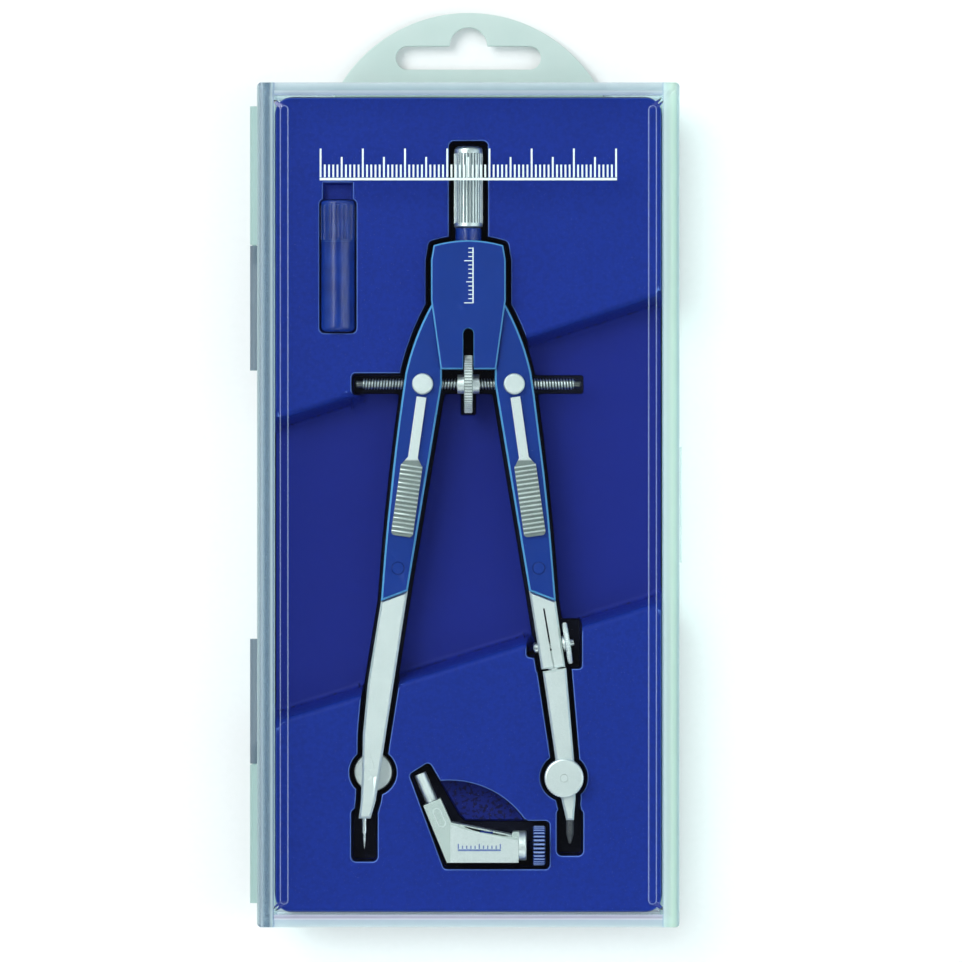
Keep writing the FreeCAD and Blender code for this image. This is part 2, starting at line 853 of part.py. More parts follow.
def lever_frame(side):
    # A lever's own frame: origin at its top, -Y down the leg.
    return sided("lever_across", side), "lever_top", sided("lever_angle", side)


def make_upper_leg(side, mark):
    leg = new_body(mark + "_leg_plate")
    pad(leg, leg_outline(side), "-leg_half", "leg_half")
    soften(
        leg, "leg_edge",
        lambda edge: on_level(value("leg_half"))(edge) or on_level(-value("leg_half"))(edge),
    )
    gear_room = [
        ("-1", "pivot_height - gear_tip_radius - 3"),
        ("pivot_across + gear_tip_radius + slip_fit", "pivot_height - gear_tip_radius - 3"),
        ("pivot_across + gear_tip_radius + slip_fit", "head_waist + 3"),
        ("-1", "head_waist + 3"),
    ]
    slot_low, slot_high = "-gear_thickness / 2 - tang_gap", "gear_thickness / 2 + tang_gap"
    pocket(leg, mirrored(gear_room, side), slot_low, slot_high)
    tail = gear_tail_outline("slip_fit")
    pocket(leg, mirrored(tail, side), slot_low, slot_high)
    pocket(
        leg, ("circle", sided("pivot_across", side), "pivot_height", "pivot_pin_radius + running_fit"),
        "-leg_half", "leg_half")
    pocket(
        leg, ("circle", sided("nut_across", side), "spindle_height", "nut_radius + running_fit"),
        "-leg_half + leg_wall / 2", "leg_half")
    channel = rectangle(
        "0", "leg_out + 5", "spindle_height - spindle_radius - 0.4",
        "spindle_height + spindle_radius + 0.4",
    )
    pocket(leg, mirrored(channel, side), "-spindle_radius - 0.3", "spindle_radius + 0.3")
    pocket(
        leg, mirrored(tang_outline("tang_gap"), side), "-tang_thickness / 2 - tang_gap",
        "tang_thickness / 2 + tang_gap",
    )
    pocket(
        leg, ("circle", sided("rivet_across", side), "rivet_height", "rivet_radius"),
        "-leg_half", "leg_half",
    )
    place(leg, z="compass_level")

    # The lever's tongue runs in a slot cut in the leg's face, square to the tilted lever.
    x, y, turn = lever_frame(side)
    slot = new_body(mark + "_tongue_slot")
    gap = "slip_fit"
    pad(slot, rectangle(
        "-tongue_width / 2 - " + gap, "tongue_width / 2 + " + gap,
        "-lever_strip_length - tongue_length - lever_travel - 0.2",
        "-lever_strip_length + 0.2 + spring_radius"),
        "leg_half - tongue_depth - 0.3", "leg_half + 0.5")
    place(slot, x, y, "compass_level", turn)
    node(mark + "_upper_leg", cut(mark + "_leg_cut", leg, slot))

    rivet = new_body(mark + "_rivet_pin")
    turned(rivet, [
        ("-leg_half - rivet_head", "0"), ("leg_half + rivet_head", "0"),
        ("leg_half + rivet_head", "rivet_head_radius - 0.3"),
        ("leg_half", "rivet_head_radius"), ("leg_half", "rivet_radius"), ("-leg_half", "rivet_radius"),
        ("-leg_half", "rivet_head_radius"), ("-leg_half - rivet_head", "rivet_head_radius - 0.3"),
    ])
    along_z(rivet, sided("rivet_across", side), "rivet_height", "compass_level")
    node(mark + "_leg_rivet", rivet)


def gear_tail_outline(gap):
    # The plate's tail runs from the pivot down into the leg.
    return [
        ("pivot_across - gear_tail_width / 2 - %s" % gap, "pivot_height"),
        ("leg_knee + 0.6 - %s" % gap, "pivot_height - gear_tail_length - %s" % gap),
        ("leg_knee + 0.6 + gear_tail_width + %s" % gap, "pivot_height - gear_tail_length - %s" % gap),
        ("pivot_across + gear_tail_width / 2 + %s" % gap, "pivot_height"),
    ]


def tang_outline(gap):
    # The metal leg's tang stands up into the blue leg, round the rivet.
    return [
        ("leg_end_in + 1.0 - %s" % gap, "leg_end_height - 2"),
        ("leg_end_out - 1.0 + %s" % gap, "leg_end_height - 2"),
        ("rivet_across + tang_width / 2 + %s" % gap, "rivet_height + 2.6 + %s" % gap),
        ("rivet_across - tang_width / 2 - %s" % gap, "rivet_height + 2.6 + %s" % gap),
    ]


def make_gear_plate(side, mark):
    plate = new_body(mark + "_gear_body")
    half = "gear_thickness / 2"
    pad(plate, mirrored(gear_tail_outline("0"), side), "-" + half, half)
    pad(
        plate, ("circle", sided("pivot_across", side), "pivot_height", "gear_root_radius"), "-" + half,
        half,
    )
    # One tooth on the far side of the pivot from the other leg, repeated round the pivot.
    teeth = new_body(mark + "_gear_teeth")
    pad(teeth, ("circle", "0", "0", "gear_root_radius"), "-" + half, half)
    tooth = body_tooth(teeth, half)
    ring = teeth.newObject("PartDesign::PolarPattern", teeth.Name + "_ring")
    ring.Originals = [tooth]
    axis = next(f for f in teeth.Origin.OriginFeatures if f.Role == "Z_Axis")
    ring.Axis = (axis, [""])
    ring.Angle = FULL_TURN
    bind(ring, Occurrences="gear_teeth")
    teeth.Tip = ring
    start = "0" if side > 0 else "180 / gear_teeth"
    place(teeth, sided("pivot_across", side), "pivot_height", "0", start)
    whole = fuse(mark + "_gear_whole", [plate, teeth])
    hole = doc.addObject("Part::Cylinder", mark + "_gear_hole")
    bind(hole, Radius="pivot_pin_radius + running_fit", Height="gear_thickness + 2")
    place(hole, sided("pivot_across", side), "pivot_height", "-gear_thickness / 2 - 1")
    gear = cut(mark + "_gear_cut", whole, hole)
    place(gear, z="compass_level")
    node(mark + "_gear_plate", gear)


def body_tooth(body, half):
    tip = "gear_tooth / 2"
    base = "gear_tooth_foot / 2"
    return pad(body, [
        ("gear_root_radius - 0.3", "-" + base), ("gear_tip_radius", "-" + tip), ("gear_tip_radius", tip),
        ("gear_root_radius - 0.3", base),
    ], "-" + half, half)


def make_spindle():
    rod = new_body("spindle_rod")
    end = "spindle_half + spindle_end_length"
    turned(rod, [
        ("-(%s)" % end, "0"), (end, "0"), (end, "spindle_end_radius"),
        ("spindle_half", "spindle_end_radius"),
        ("spindle_half", "spindle_radius"), ("-spindle_half", "spindle_radius"),
        ("-spindle_half", "spindle_end_radius"),
        ("-(%s)" % end, "spindle_end_radius"),
    ])
    along_x(rod, "0", "spindle_height", "compass_level")
    node("spindle", rod)
    wheel = new_body("wheel_disc")
    half, hub = "wheel_thickness / 2", "wheel_hub_length / 2"
    turned(wheel, [
        ("-(%s)" % hub, "spindle_radius"), (hub, "spindle_radius"), (hub, "wheel_hub_radius"),
        (half, "wheel_hub_radius"),
        (half, "wheel_radius - 0.25"), ("%s - 0.25" % half, "wheel_radius"),
        ("-(%s) + 0.25" % half, "wheel_radius"),
        ("-(%s)" % half, "wheel_radius - 0.25"), ("-(%s)" % half, "wheel_hub_radius"),
        ("-(%s)" % hub, "wheel_hub_radius"),
    ])
    fluted(wheel, "wheel_knurls", "knurl_radius", "wheel_radius + 0.02", "-(%s)" % half, "wheel_thickness")
    along_x(wheel, "0", "spindle_height", "compass_level")
    node("centre_wheel", wheel)


def make_nut(side, mark):
    nut = new_body(mark + "_nut_barrel")
    low, high = "-leg_half + leg_wall / 2 + 0.1", "leg_half + nut_rise"
    pad(nut, ("circle", "0", "0", "nut_radius"), low, high)
    soften(nut, "0.25", on_level(value(high)))
    place(nut, sided("nut_across", side), "spindle_height", "compass_level")
    bore = doc.addObject("Part::Cylinder", mark + "_nut_bore")
    bind(bore, Radius="spindle_radius + thread_play", Height="nut_radius * 4")
    place(
        bore, sided("nut_across", side) + " - nut_radius * 2", "spindle_height", "compass_level", "90",
        V(0, 1, 0),
    )
    node(mark + "_spindle_nut", cut(mark + "_nut_cut", nut, bore))


def make_lever(side, mark):
    lever = new_body(mark + "_lever_plate")
    strip, grip = "lever_strip_width / 2", "lever_grip_width / 2"
    foot = "-lever_strip_length - lever_grip_length"
    shoulder = "-lever_strip_length - 2.1"
    outline = [
        ("-(%s)" % grip, foot + " + 0.9"), ("-(%s) + 0.9" % grip, foot, "0.9"), ("%s - 0.9" % grip, foot),
        (grip, foot + " + 0.9", "0.9"), (grip, shoulder), (strip, "-lever_strip_length"), (strip, "-0.4"),
        ("-(%s)" % strip, "-0.4"), ("-(%s)" % strip, "-lever_strip_length"), ("-(%s)" % grip, shoulder),
    ]
    pad(lever, outline, "lever_face", "lever_face + lever_thickness")
    ridge_foot = foot + " + 0.75"
    ridge = pad(lever, rectangle(
        "-(%s) + 0.05" % grip, "%s - 0.05" % grip, ridge_foot, ridge_foot + " + lever_pitch * 0.52"),
        "lever_face + lever_thickness - 0.05", "lever_face + lever_thickness + lever_ridge")
    row = lever.newObject("PartDesign::LinearPattern", lever.Name + "_ridges")
    row.Originals = [ridge]
    axis = next(f for f in lever.Origin.OriginFeatures if f.Role == "Y_Axis")
    row.Direction = (axis, [""])
    bind(row, Length="lever_pitch * (lever_ridges - 1)", Occurrences="lever_ridges")
    lever.Tip = row
    tongue = rectangle(
        "-tongue_width / 2", "tongue_width / 2", "-lever_strip_length - tongue_length",
        "-lever_strip_length - 0.2",
    )
    pad(lever, tongue, "leg_half - tongue_depth", "lever_face + 0.1")
    x, y, turn = lever_frame(side)
    place(lever, x, y, "compass_level", turn)
    node(mark + "_release_lever", lever)


# ---------------------------------------------------------------- points


def bevel_front_and_back(body):
    half = value("metal_half")
    soften(body, "metal_edge", lambda edge: on_level(half, 1.0)(edge) or on_level(-half, 1.0)(edge))


def left_leg_outline():
    return mirrored([
        ("leg_end_in", "leg_end_height + leg_end_step"), ("shin_in", "shin_height"),
        ("ankle_in", "ankle_height - 1.2"),
        ("foot_in", "foot_height"), ("foot_in + 1.2", "foot_tip"), ("foot_out + 0.5", "foot_tip"),
        ("foot_out", "foot_height"),
        ("ankle_out", "ankle_height", "-400"), ("shin_out", "shin_height", "300"),
        ("leg_end_out", "leg_end_height"),
    ], -1)


def make_left_leg():
    half = "metal_half"
    leg = new_body("lower_leg_plate")
    pad(leg, left_leg_outline(), "-" + half, half)
    bevel_front_and_back(leg)
    pad(leg, mirrored(tang_outline("0"), -1), "-tang_thickness / 2", "tang_thickness / 2")
    pocket(leg, ("circle", "-rivet_across", "rivet_height", "rivet_radius + rivet_fit"), "-" + half, half)
    pocket(leg, ("circle", "-clamp_across", "clamp_height", "clamp_screw_radius"), "-" + half, half)
    place(leg, z="compass_level")
    needle_hole = rod("needle_hole", "-needle_inside - 0.2", "1", "needle_radius + pin_play")
    along_x(needle_hole, "-needle_across", "foot_tip", "compass_level", "-90")
    node("left_lower_leg", cut("lower_leg_cut", leg, needle_hole))

    needle = new_body("needle_rod")
    out, fine, point = "needle_stand_out", "needle_stand_out + needle_fine_length", (
        "needle_stand_out + needle_fine_length + needle_point_length")
    turned(needle, [
        ("-needle_inside", "0"), (point, "0"), (fine, "needle_fine_radius"), (out, "needle_fine_radius"),
        (out, "needle_radius"), ("-needle_inside", "needle_radius"),
    ])
    along_x(needle, "-needle_across", "foot_tip", "compass_level", "-90")
    node("needle", needle)

    back = "-metal_half - disc_gap - clamp_disc_thickness - 0.15"
    screw = rod("needle_screw_rod", back, "metal_half + 0.25", "clamp_screw_radius")
    along_z(screw, "-clamp_across", "clamp_height", "compass_level")
    node("needle_clamp_screw", screw)
    disc = clamp_disc("needle_nut_disc")
    place(disc, "-clamp_across", "clamp_height", "compass_level - metal_half - disc_gap", "90", V(0, 1, 0))
    node("needle_clamp_nut", disc)


def clamp_disc(name):
    # A knurled round nut, from its bearing face at 0 outwards, bored for its screw.
    disc = new_body(name)
    thick = "clamp_disc_thickness"
    turned(disc, [
        ("0", "clamp_screw_radius + running_fit"), (thick, "clamp_screw_radius + running_fit"),
        (thick, "clamp_disc_radius - 0.5"), (thick + " - 0.5", "clamp_disc_radius", "0.6"),
        ("0.3", "clamp_disc_radius"), ("0", "clamp_disc_radius - 0.3"),
    ])
    fluted(disc, "disc_knurls", "knurl_radius", "clamp_disc_radius + 0.05", "0", thick)
    return disc


def socket_outline():
    return [
        ("leg_end_in", "leg_end_height + leg_end_step"), ("socket_end_in", "socket_end - 0.6"),
        ("socket_end_out", "socket_end"), ("leg_end_out", "leg_end_height"),
    ]


def slit_x(y):
    # Where the socket's leaning centre line is at a height.
    return "(slit_across + (leg_end_height - (%s)) * tan(slit_lean))" % y


def screw_y(x):
    # The height of the socket's clamp screw, which leans a little, above a place across.
    return "socket_screw_height + (%s - socket_nut_across) * tan(socket_screw_angle)" % x


def screw_piece(body, x):
    along_x(body, x, screw_y(x), "compass_level", "socket_screw_angle")


def make_socket():
    half = "metal_half"
    socket = new_body("socket_plate")
    pad(socket, socket_outline(), "-" + half, half)
    bevel_front_and_back(socket)
    pad(socket, tang_outline("0"), "-tang_thickness / 2", "tang_thickness / 2")
    pocket(socket, ("circle", "rivet_across", "rivet_height", "rivet_radius + rivet_fit"), "-" + half, half)
    top, low = "(leg_end_height - 1.8)", "(socket_end - 2)"
    pocket(socket, [
        (slit_x(top) + " - slit_width / 2", top), (slit_x(low) + " - slit_width / 2", low),
        (slit_x(low) + " + slit_width / 2", low), (slit_x(top) + " + slit_width / 2", top),
    ], "-" + half, half)
    place(socket, z="compass_level")
    pin_bore = rod("arm_pin_bore", "-2", "arm_pin_length + 0.3", "arm_pin_radius + pin_play")
    arm_pin_place(pin_bore)
    screw_bore = rod(
        "socket_screw_bore", "-2", "socket_screw_length + 2", "socket_screw_radius + running_fit",
    )
    screw_piece(screw_bore, "socket_screw_start")
    head_seat = rod("socket_head_seat", "-3", "0.15", "socket_screw_head + slip_fit")
    screw_piece(head_seat, "socket_screw_start")
    node("lead_socket", cut("socket_cut", socket, fuse("socket_bores", [pin_bore, screw_bore, head_seat])))

    screw = new_body("socket_screw_rod")
    shank, head = "socket_screw_radius", "socket_screw_head"
    turned(screw, [
        ("-0.9", "0"), ("socket_screw_length", "0"), ("socket_screw_length", shank), ("0.1", shank),
        ("0.1", head), ("-0.6", head), ("-0.9", head + " - 0.3"),
    ])
    screw_piece(screw, "socket_screw_start")
    node("socket_clamp_screw", screw)
    washer = new_body("socket_washer_ring")
    bore = "socket_screw_radius + running_fit"
    turned(washer, [
        ("-socket_washer_thickness", bore), ("-0.05", bore), ("-0.05", "socket_washer_radius"),
        ("-socket_washer_thickness", "socket_washer_radius"),
    ])
    screw_piece(washer, "socket_nut_across - socket_nut_thickness / 2")
    node("socket_washer", washer)
    nut = new_body("socket_nut_disc")
    thick, rim = "socket_nut_thickness / 2", "socket_nut_radius"
    turned(nut, [
        ("-(%s)" % thick, bore), (thick, bore), (thick, rim + " - 0.3"), (thick + " - 0.3", rim),
        ("-(%s) + 0.3" % thick, rim), ("-(%s)" % thick, rim + " - 0.3"),
    ])
    fluted(nut, "disc_knurls", "knurl_radius", rim + " + 0.05", "-(%s)" % thick, "socket_nut_thickness")
    screw_piece(nut, "socket_nut_across")
    node("socket_clamp_nut", nut)


def arm_outline():
    top = "(socket_end - arm_gap)"
    return [
        ("arm_start_in", top + " - 0.9"), ("arm_calf_in", "arm_calf_height"),
        ("arm_foot_in", "arm_foot_height"),
        ("arm_foot_in + 1.2", "arm_foot_tip"), ("arm_foot_out - 0.4", "arm_foot_tip"),
        ("arm_foot_out", "arm_foot_height"), ("arm_calf_out", "arm_calf_height"), ("arm_start_out", top),
    ]


def arm_pin_place(body):
    foot = "(socket_end - arm_gap - 0.5)"
    along_x(body, slit_x(foot), foot, "compass_level", "90 + slit_lean")


def make_arm():
    half = "metal_half"
    arm = new_body("arm_plate")
    pad(arm, arm_outline(), "-" + half, half)
    bevel_front_and_back(arm)
    pocket(arm, ("circle", "clamp_across", "lead_clamp_height", "clamp_screw_radius"), "-" + half, half)
    place(arm, z="compass_level")
    lead_hole = rod("lead_hole", "-lead_inside - 0.2", "2", "lead_radius + pin_play")
    along_x(lead_hole, "lead_across", "arm_foot_tip", "compass_level", "-90")
    pin = rod("arm_pin", "-1.5", "arm_pin_length", "arm_pin_radius")
    arm_pin_place(pin)
    node("lead_arm", cut("arm_cut", fuse("arm_whole", [arm, pin]), lead_hole))

    lead = new_body("lead_rod")
    tip = "lead_stand_out"
    turned(lead, [
        ("-lead_inside", "0"), (tip, "0"), (tip, "0.25"), (tip + " - 2.2", "lead_radius"),
        ("-lead_inside", "lead_radius"),
    ])
    along_x(lead, "lead_across", "arm_foot_tip", "compass_level", "-90")
    node("lead", lead)

    front = "metal_half + disc_gap + clamp_disc_thickness + 0.15"
    screw = rod("lead_screw_rod", "-metal_half - 0.25", front, "clamp_screw_radius")
    along_z(screw, "clamp_across", "lead_clamp_height", "compass_level")
    node("lead_clamp_screw", screw)
    disc = clamp_disc("lead_nut_disc")
    along_z(disc, "clamp_across", "lead_clamp_height", "compass_level + metal_half + disc_gap")
    node("lead_clamp_nut", disc)


# ---------------------------------------------------------------- adapter


def elbow_point(along, outwards):
    # A point of the adapter's leaning block, from the middle of its free end.
    return (
        "adapter_elbow_across + (%s) * cos(adapter_lean) - (%s) * sin(adapter_lean)" % (along, outwards),
        "adapter_elbow_height + (%s) * sin(adapter_lean) + (%s) * cos(adapter_lean)" % (along, outwards),
    )


def adapter_outline():
    return [
        ("adapter_left", "adapter_bottom"), ("adapter_right", "adapter_bottom"),
        ("adapter_right", "adapter_top_right"), ("adapter_inner_corner", "adapter_top_left"),
        elbow_point("adapter_block_width / 2", "0"), elbow_point("-adapter_block_width / 2", "0"),
    ]


def make_adapter():
    half = "adapter_depth / 2"
    block = new_body("adapter_block")
    pad(block, adapter_outline(), "-" + half, half + " - adapter_plate")
    plate = [
        ("adapter_inner_corner", "adapter_bottom"), ("adapter_right - 0.9", "adapter_bottom"),
        ("adapter_right - 0.9", "adapter_top_right + 0.1"),
        ("adapter_inner_corner", "adapter_top_left - 0.2"),
    ]
    pad(block, plate, half + " - adapter_plate", half)
    groove = [
        ("adapter_inner_corner + 1.6", "adapter_axis - 1.6"), ("adapter_right - 1.5", "adapter_axis - 1.6"),
        ("adapter_right - 1.5", "adapter_top_left + 1"),
        ("adapter_inner_corner + 1.6", "adapter_top_left + 1"),
    ]
    pocket(block, groove, "-groove_half_width", "groove_half_width")
    place(block, z="adapter_level")
    screw_hole = rod(
        "adapter_screw_hole", "-adapter_screw_inside - 0.3", "collar_length + 2",
        "adapter_screw_radius + running_fit",
    )
    along_x(screw_hole, "adapter_right", "adapter_axis", "adapter_level")
    node("adapter_body", cut("adapter_cut", block, screw_hole))

    pin = rod("adapter_pin_rod", "0.02", "adapter_pin_length", "adapter_pin_radius")
    x, y = elbow_point("0", "0")
    along_x(pin, x, y, "adapter_level", "90 + adapter_lean")
    node("adapter_pin", pin)

    ring = new_body("collar_ring")
    bore = "adapter_screw_radius + running_fit"
    turned(ring, [
        ("0.02", bore), ("collar_length", bore), ("collar_length", "collar_radius - 0.4"),
        ("collar_length - 0.4", "collar_radius", "0.45"), ("0.02", "collar_radius"),
    ])
    along_x(ring, "adapter_right", "adapter_axis", "adapter_level")
    node("adapter_collar", ring)

    knob = new_body("knob_and_screw")
    neck, rim = "collar_length + knob_neck", "knob_radius"
    end = neck + " + knob_thickness"
    turned(knob, [
        ("-adapter_screw_inside", "0"), (end, "0"), (end, rim + " - 0.4"), (end + " - 0.4", rim),
        (neck + " + 0.4", rim), (neck, rim + " - 0.4"), (neck, "adapter_screw_radius"),
        ("-adapter_screw_inside", "adapter_screw_radius"),
    ])
    fluted(knob, "knob_knurls", "flute_radius", rim + " + 0.08", neck, "knob_thickness")
    along_x(knob, "adapter_right", "adapter_axis", "adapter_level")
    node("adapter_knob", knob)


# ---------------------------------------------------------------- lead tube


def make_tube():
    tube = new_body("tube_barrel")
    turned(tube, [
        ("0", "0"), ("tube_end", "0"), ("tube_end", "tube_bore"), ("tube_length", "tube_bore"),
        ("tube_length", "tube_radius"), ("1.2", "tube_radius"), ("0", "tube_radius - 1.2", "1.2"),
    ])
    along_y(tube, "tube_across", "tube_foot", "tube_level")
    node("lead_tube", tube)
    cap = new_body("cap_barrel")
    plug = "tube_bore - running_fit"
    turned(cap, [
        ("-cap_plug_length", "0"), ("cap_length", "0"), ("cap_length", "tube_radius - 0.6"),
        ("cap_length - 0.6", "tube_radius", "0.6"), ("seam_gap", "tube_radius"), ("seam_gap", plug),
        ("-cap_plug_length", plug),
    ])
    fluted(cap, "cap_flutes", "cap_flute_radius", "tube_radius + 0.1", "0.5", "cap_length - 1.6")
    along_y(cap, "tube_across", "tube_foot + tube_length", "tube_level")
    node("lead_tube_cap", cap)
    spares = []
    count = 3
    for index in range(count):
        angle = FULL_TURN / count * index - 90
        spare = rod(
            "spare_lead_%d" % (index + 1), "tube_end + 0.05",
            "tube_end + spare_lead_length - cap_plug_length", "spare_lead_radius",
        )
        ring = "(tube_bore - spare_lead_radius - 0.05)"
        along_y(
            spare, "tube_across + %s * cos(%s)" % (ring, angle), "tube_foot",
            "tube_level + %s * sin(%s)" % (ring, angle),
        )
        spares.append(spare)
    node("spare_leads", group("spare_lead_set", spares))


# ---------------------------------------------------------------- insert


def prism(outline, gap, bottom, top):
    # A cavity's volume: an outline grown by a gap, from its floor to above the insert.
    area = face(outline)
    if gap:
        area = area.makeOffset2D(gap)
        if area.ShapeType != "Face":
            area = area.Faces[0]
    area.translate(V(0, 0, bottom))
    return area.extrude(V(0, 0, top - bottom))


def beds():
    # What the insert is hollowed for: each outline with its gap and the level of its floor.
    middle, drop, gap = value("compass_level"), value("bed_drop"), value("bed_gap")
    moat = value("moat_floor")
    wheel_floor = middle - value("wheel_radius") - drop - 0.2
    tube_floor = value("tube_level - tube_radius") - drop
    spindle_end = "(spindle_half + spindle_end_length)"
    handle = rectangle(
        "-handle_radius", "handle_radius", "head_top - 1", "neck_foot + neck_length + handle_length",
    )
    wheel = rectangle(
        "-wheel_thickness / 2 - 0.4", "wheel_thickness / 2 + 0.4", "spindle_height - wheel_radius",
        "spindle_height + wheel_radius",
    )
    rod_bed = rectangle("-" + spindle_end, spindle_end, "spindle_height - 1.6", "spindle_height + 1.6")
    result = [
        (head_outline(), gap, moat),
        (handle, gap, moat),
        (wheel, 0.6, wheel_floor),
        (rod_bed, 1.0, moat),
        (left_leg_outline(), gap, moat),
        (socket_outline(), gap, moat),
        (arm_outline(), gap, moat),
        (("circle", "-clamp_across", "clamp_height", "clamp_disc_radius"), 1.0, moat),
        (("circle", "clamp_across", "lead_clamp_height", "clamp_disc_radius"), 1.0, moat),
        (
            tip_bed(
                "-needle_across",
                "foot_tip - needle_stand_out - needle_fine_length - needle_point_length",
            ),
            gap, moat,
        ),
        (tip_bed("lead_across", "arm_foot_tip - lead_stand_out"), gap, moat),
        (rectangle("socket_nut_across - 1.4", "socket_nut_across + 2.6",
                   "socket_screw_height - socket_nut_radius - 0.3",
                   "socket_screw_height + socket_nut_radius + 0.3"), 0.9, moat),
        (rectangle(
            "socket_screw_start - 1.8", "socket_screw_start + 4", "socket_screw_height - 2.6",
            "socket_screw_height",
        ),
         0.8, moat),
        (adapter_bed(), value("adapter_bed_gap"), moat),
        (rounded("tube_across - tube_radius", "tube_across + tube_radius", "tube_foot", "cap_top", "0.9"),
         value("tube_bed_gap"), tube_floor),
        (rectangle(
            "tube_across - tube_radius + 0.5", "tube_across + tube_radius - 0.5", "cap_top - 1",
            "cap_top + scoop_length",
        ),
         0, value("tray_top") - 2.5),
        (thumb_outline(), 0, value("thumb_floor")),
        (trough_outline(), 0, value("trough_floor")),
    ]
    for side in (1, -1):
        result.append((leg_outline(side), gap, moat))
        result.append((("circle", sided("nut_across", side), "spindle_height", "nut_radius"), 1.0, moat))
    return result


def pads():
    # The compass and the adapter rest on these, which stand in their hollows under each piece.
    middle, gap = value("compass_level"), value("pad_gap")
    metal_rest = middle - value("metal_half") - gap
    adapter_rest = value("adapter_level - adapter_depth / 2") - gap
    return [
        (rectangle("-6", "6", "head_waist - 2", "head_top - 5"), middle - value("head_depth / 2") - gap),
        (
            rectangle("-1.4", "1.4", "neck_foot + 8", "neck_foot + 18"),
            middle - value("handle_radius") - gap,
        ),
        (("circle", "-pad_across", "pad_height", "pad_radius"), metal_rest),
        (("circle", "pad_across", "pad_height", "pad_radius"), metal_rest),
        (rectangle("-2", "9", "adapter_bottom + 1.2", "adapter_bottom + 4"), adapter_rest),
    ]


def tip_bed(x, y):
    return rectangle(x + " - 1.9", x + " + 1.9", y + " - 1.7", "foot_tip + 1")


def adapter_bed():
    # One hollow for the adapter's body, its pin and its knob, with a bevel inside the elbow.
    foot, top = "adapter_bottom - adapter_bed_room", "adapter_top_left"
    far = "adapter_right + collar_length + knob_neck + knob_thickness"
    return [
        ("adapter_left", foot), (far, foot), (far, top),
        ("adapter_inner_corner + adapter_bed_bevel * 2", top),
        ("adapter_inner_corner + adapter_bed_bevel", "adapter_top_left + adapter_bed_bevel"),
        elbow_point("adapter_block_width / 2", "adapter_pin_length + adapter_bed_room"),
        elbow_point("-adapter_pin_radius", "adapter_pin_length"),
    ]


def thumb_outline():
    # The part of a large circle that lies above the adapter's hollow and runs into it on the left.
    low = "(adapter_top_left + 0.4)"
    return [
        ("thumb_left + thumb_slant", low),
        ("thumb_across + sqrt(thumb_radius ^ 2 - (%s - thumb_height) ^ 2)" % low, low),
        (
            "thumb_left", "thumb_height + sqrt(thumb_radius ^ 2 - (thumb_left - thumb_across) ^ 2)",
            "thumb_radius",
        ),
    ]


def trough_outline():
    # The sunken band that crosses the insert, rising to the right.
    far = "(half_width + 2)"
    return [
        ("-" + far, "trough_lower - %s * trough_fall" % far),
        (far, "trough_lower + %s * trough_fall" % far),
        (far, "trough_upper + %s * trough_rise" % far),
        ("-" + far, "trough_upper - %s * trough_rise" % far),
    ]


def tray_block(inset, foot, top):
    # The insert's outer form: its top edge is narrower than its foot, which fills the base.
    side_gap = value("wall + tray_side_gap") + inset
    half_sizes = (
        (value("tray_width / 2 + tray_flare") - inset, value("half_length") - side_gap, foot),
        (value("tray_width / 2") - inset, value("tray_length / 2") - inset, top),
    )
    rings = []
    for half_x, half_y, level in half_sizes:
        ring = face(rounded(-half_x, half_x, -half_y, half_y, "tray_corner")).OuterWire
        ring.translate(V(0, 0, level))
        rings.append(ring)
    return Part.makeLoft(rings, True, True)


def make_tray():
    # The sheet is the outer form less the same form one sheet further in, open below.
    skin, foot, top = value("sheet"), value("wall + tab_clearance"), value("tray_top")
    above = top + 2
    low = value("moat_floor") - skin / 2
    rests = [prism(o, 0, low, level) for o, level in pads()]
    cavities = [prism(o, gap, floor, above) for o, gap, floor in beds()]
    outer = tray_block(0, foot, top).cut(cavities).fuse(rests)
    under = [prism(o, gap + skin, floor - skin, above) for o, gap, floor in beds()]
    hollows = [prism(o, -skin, low - skin, level - skin) for o, level in pads()]
    inner = tray_block(skin, foot - 1, top - skin).cut(under).fuse(hollows)
    slot_half = value("tab_radius + tab_side_gap + tab_guide + tray_side_gap")
    slot_top = value("tab_bottom + tab_thickness + tray_side_gap")
    notch = Part.makeBox(2 * slot_half, 20, slot_top, V(-slot_half, value("half_length") - 20, 0))
    tray = doc.addObject("Part::Feature", "tray_sheet")
    tray.Shape = outer.cut([inner, notch])
    tray.Placement = FreeCAD.Placement(V(0, 0, 0), FreeCAD.Rotation())
    node("insert_tray", tray)


# ---------------------------------------------------------------- build


make_base()
make_lid()
make_tab()
make_tray()
make_head()
make_handle()
for hand, mark in ((-1, "left"), (1, "right")):
    make_upper_leg(hand, mark)
    make_gear_plate(hand, mark)
    make_nut(hand, mark)
    make_lever(hand, mark)
make_spindle()
make_left_leg()
make_socket()
make_arm()
make_adapter()
make_tube()
doc.recompute()

for thing in doc.Objects:
    if {"Invalid", "Error"} & set(thing.State):
        raise RuntimeError("%s (%s) failed: %s" % (thing.Name, thing.Label, thing.State))
for body in (thing for thing in doc.Objects if thing.TypeId == "PartDesign::Body"):
    before = 0.0
    for feature in (f for f in body.Group if f.isDerivedFrom("PartDesign::Feature")):
        if feature.TypeId == "PartDesign::Pocket" and feature.Shape.Volume >= before:
            raise RuntimeError("%s cuts nothing from %s" % (feature.Name, body.Name))
        before = feature.Shape.Volume
for name, thing in nodes.items():
    if thing.Shape.isNull() or not thing.Shape.isValid():
        raise RuntimeError(name + " has no valid shape")

os.makedirs("parts", exist_ok=True)
for name, thing in nodes.items():
    thing.Shape.exportStep("parts/%s.step" % name)
print("%d nodes" % len(nodes))
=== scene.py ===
import math

import bmesh
import bpy
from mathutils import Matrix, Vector, geometry
from mathutils.bvhtree import BVHTree


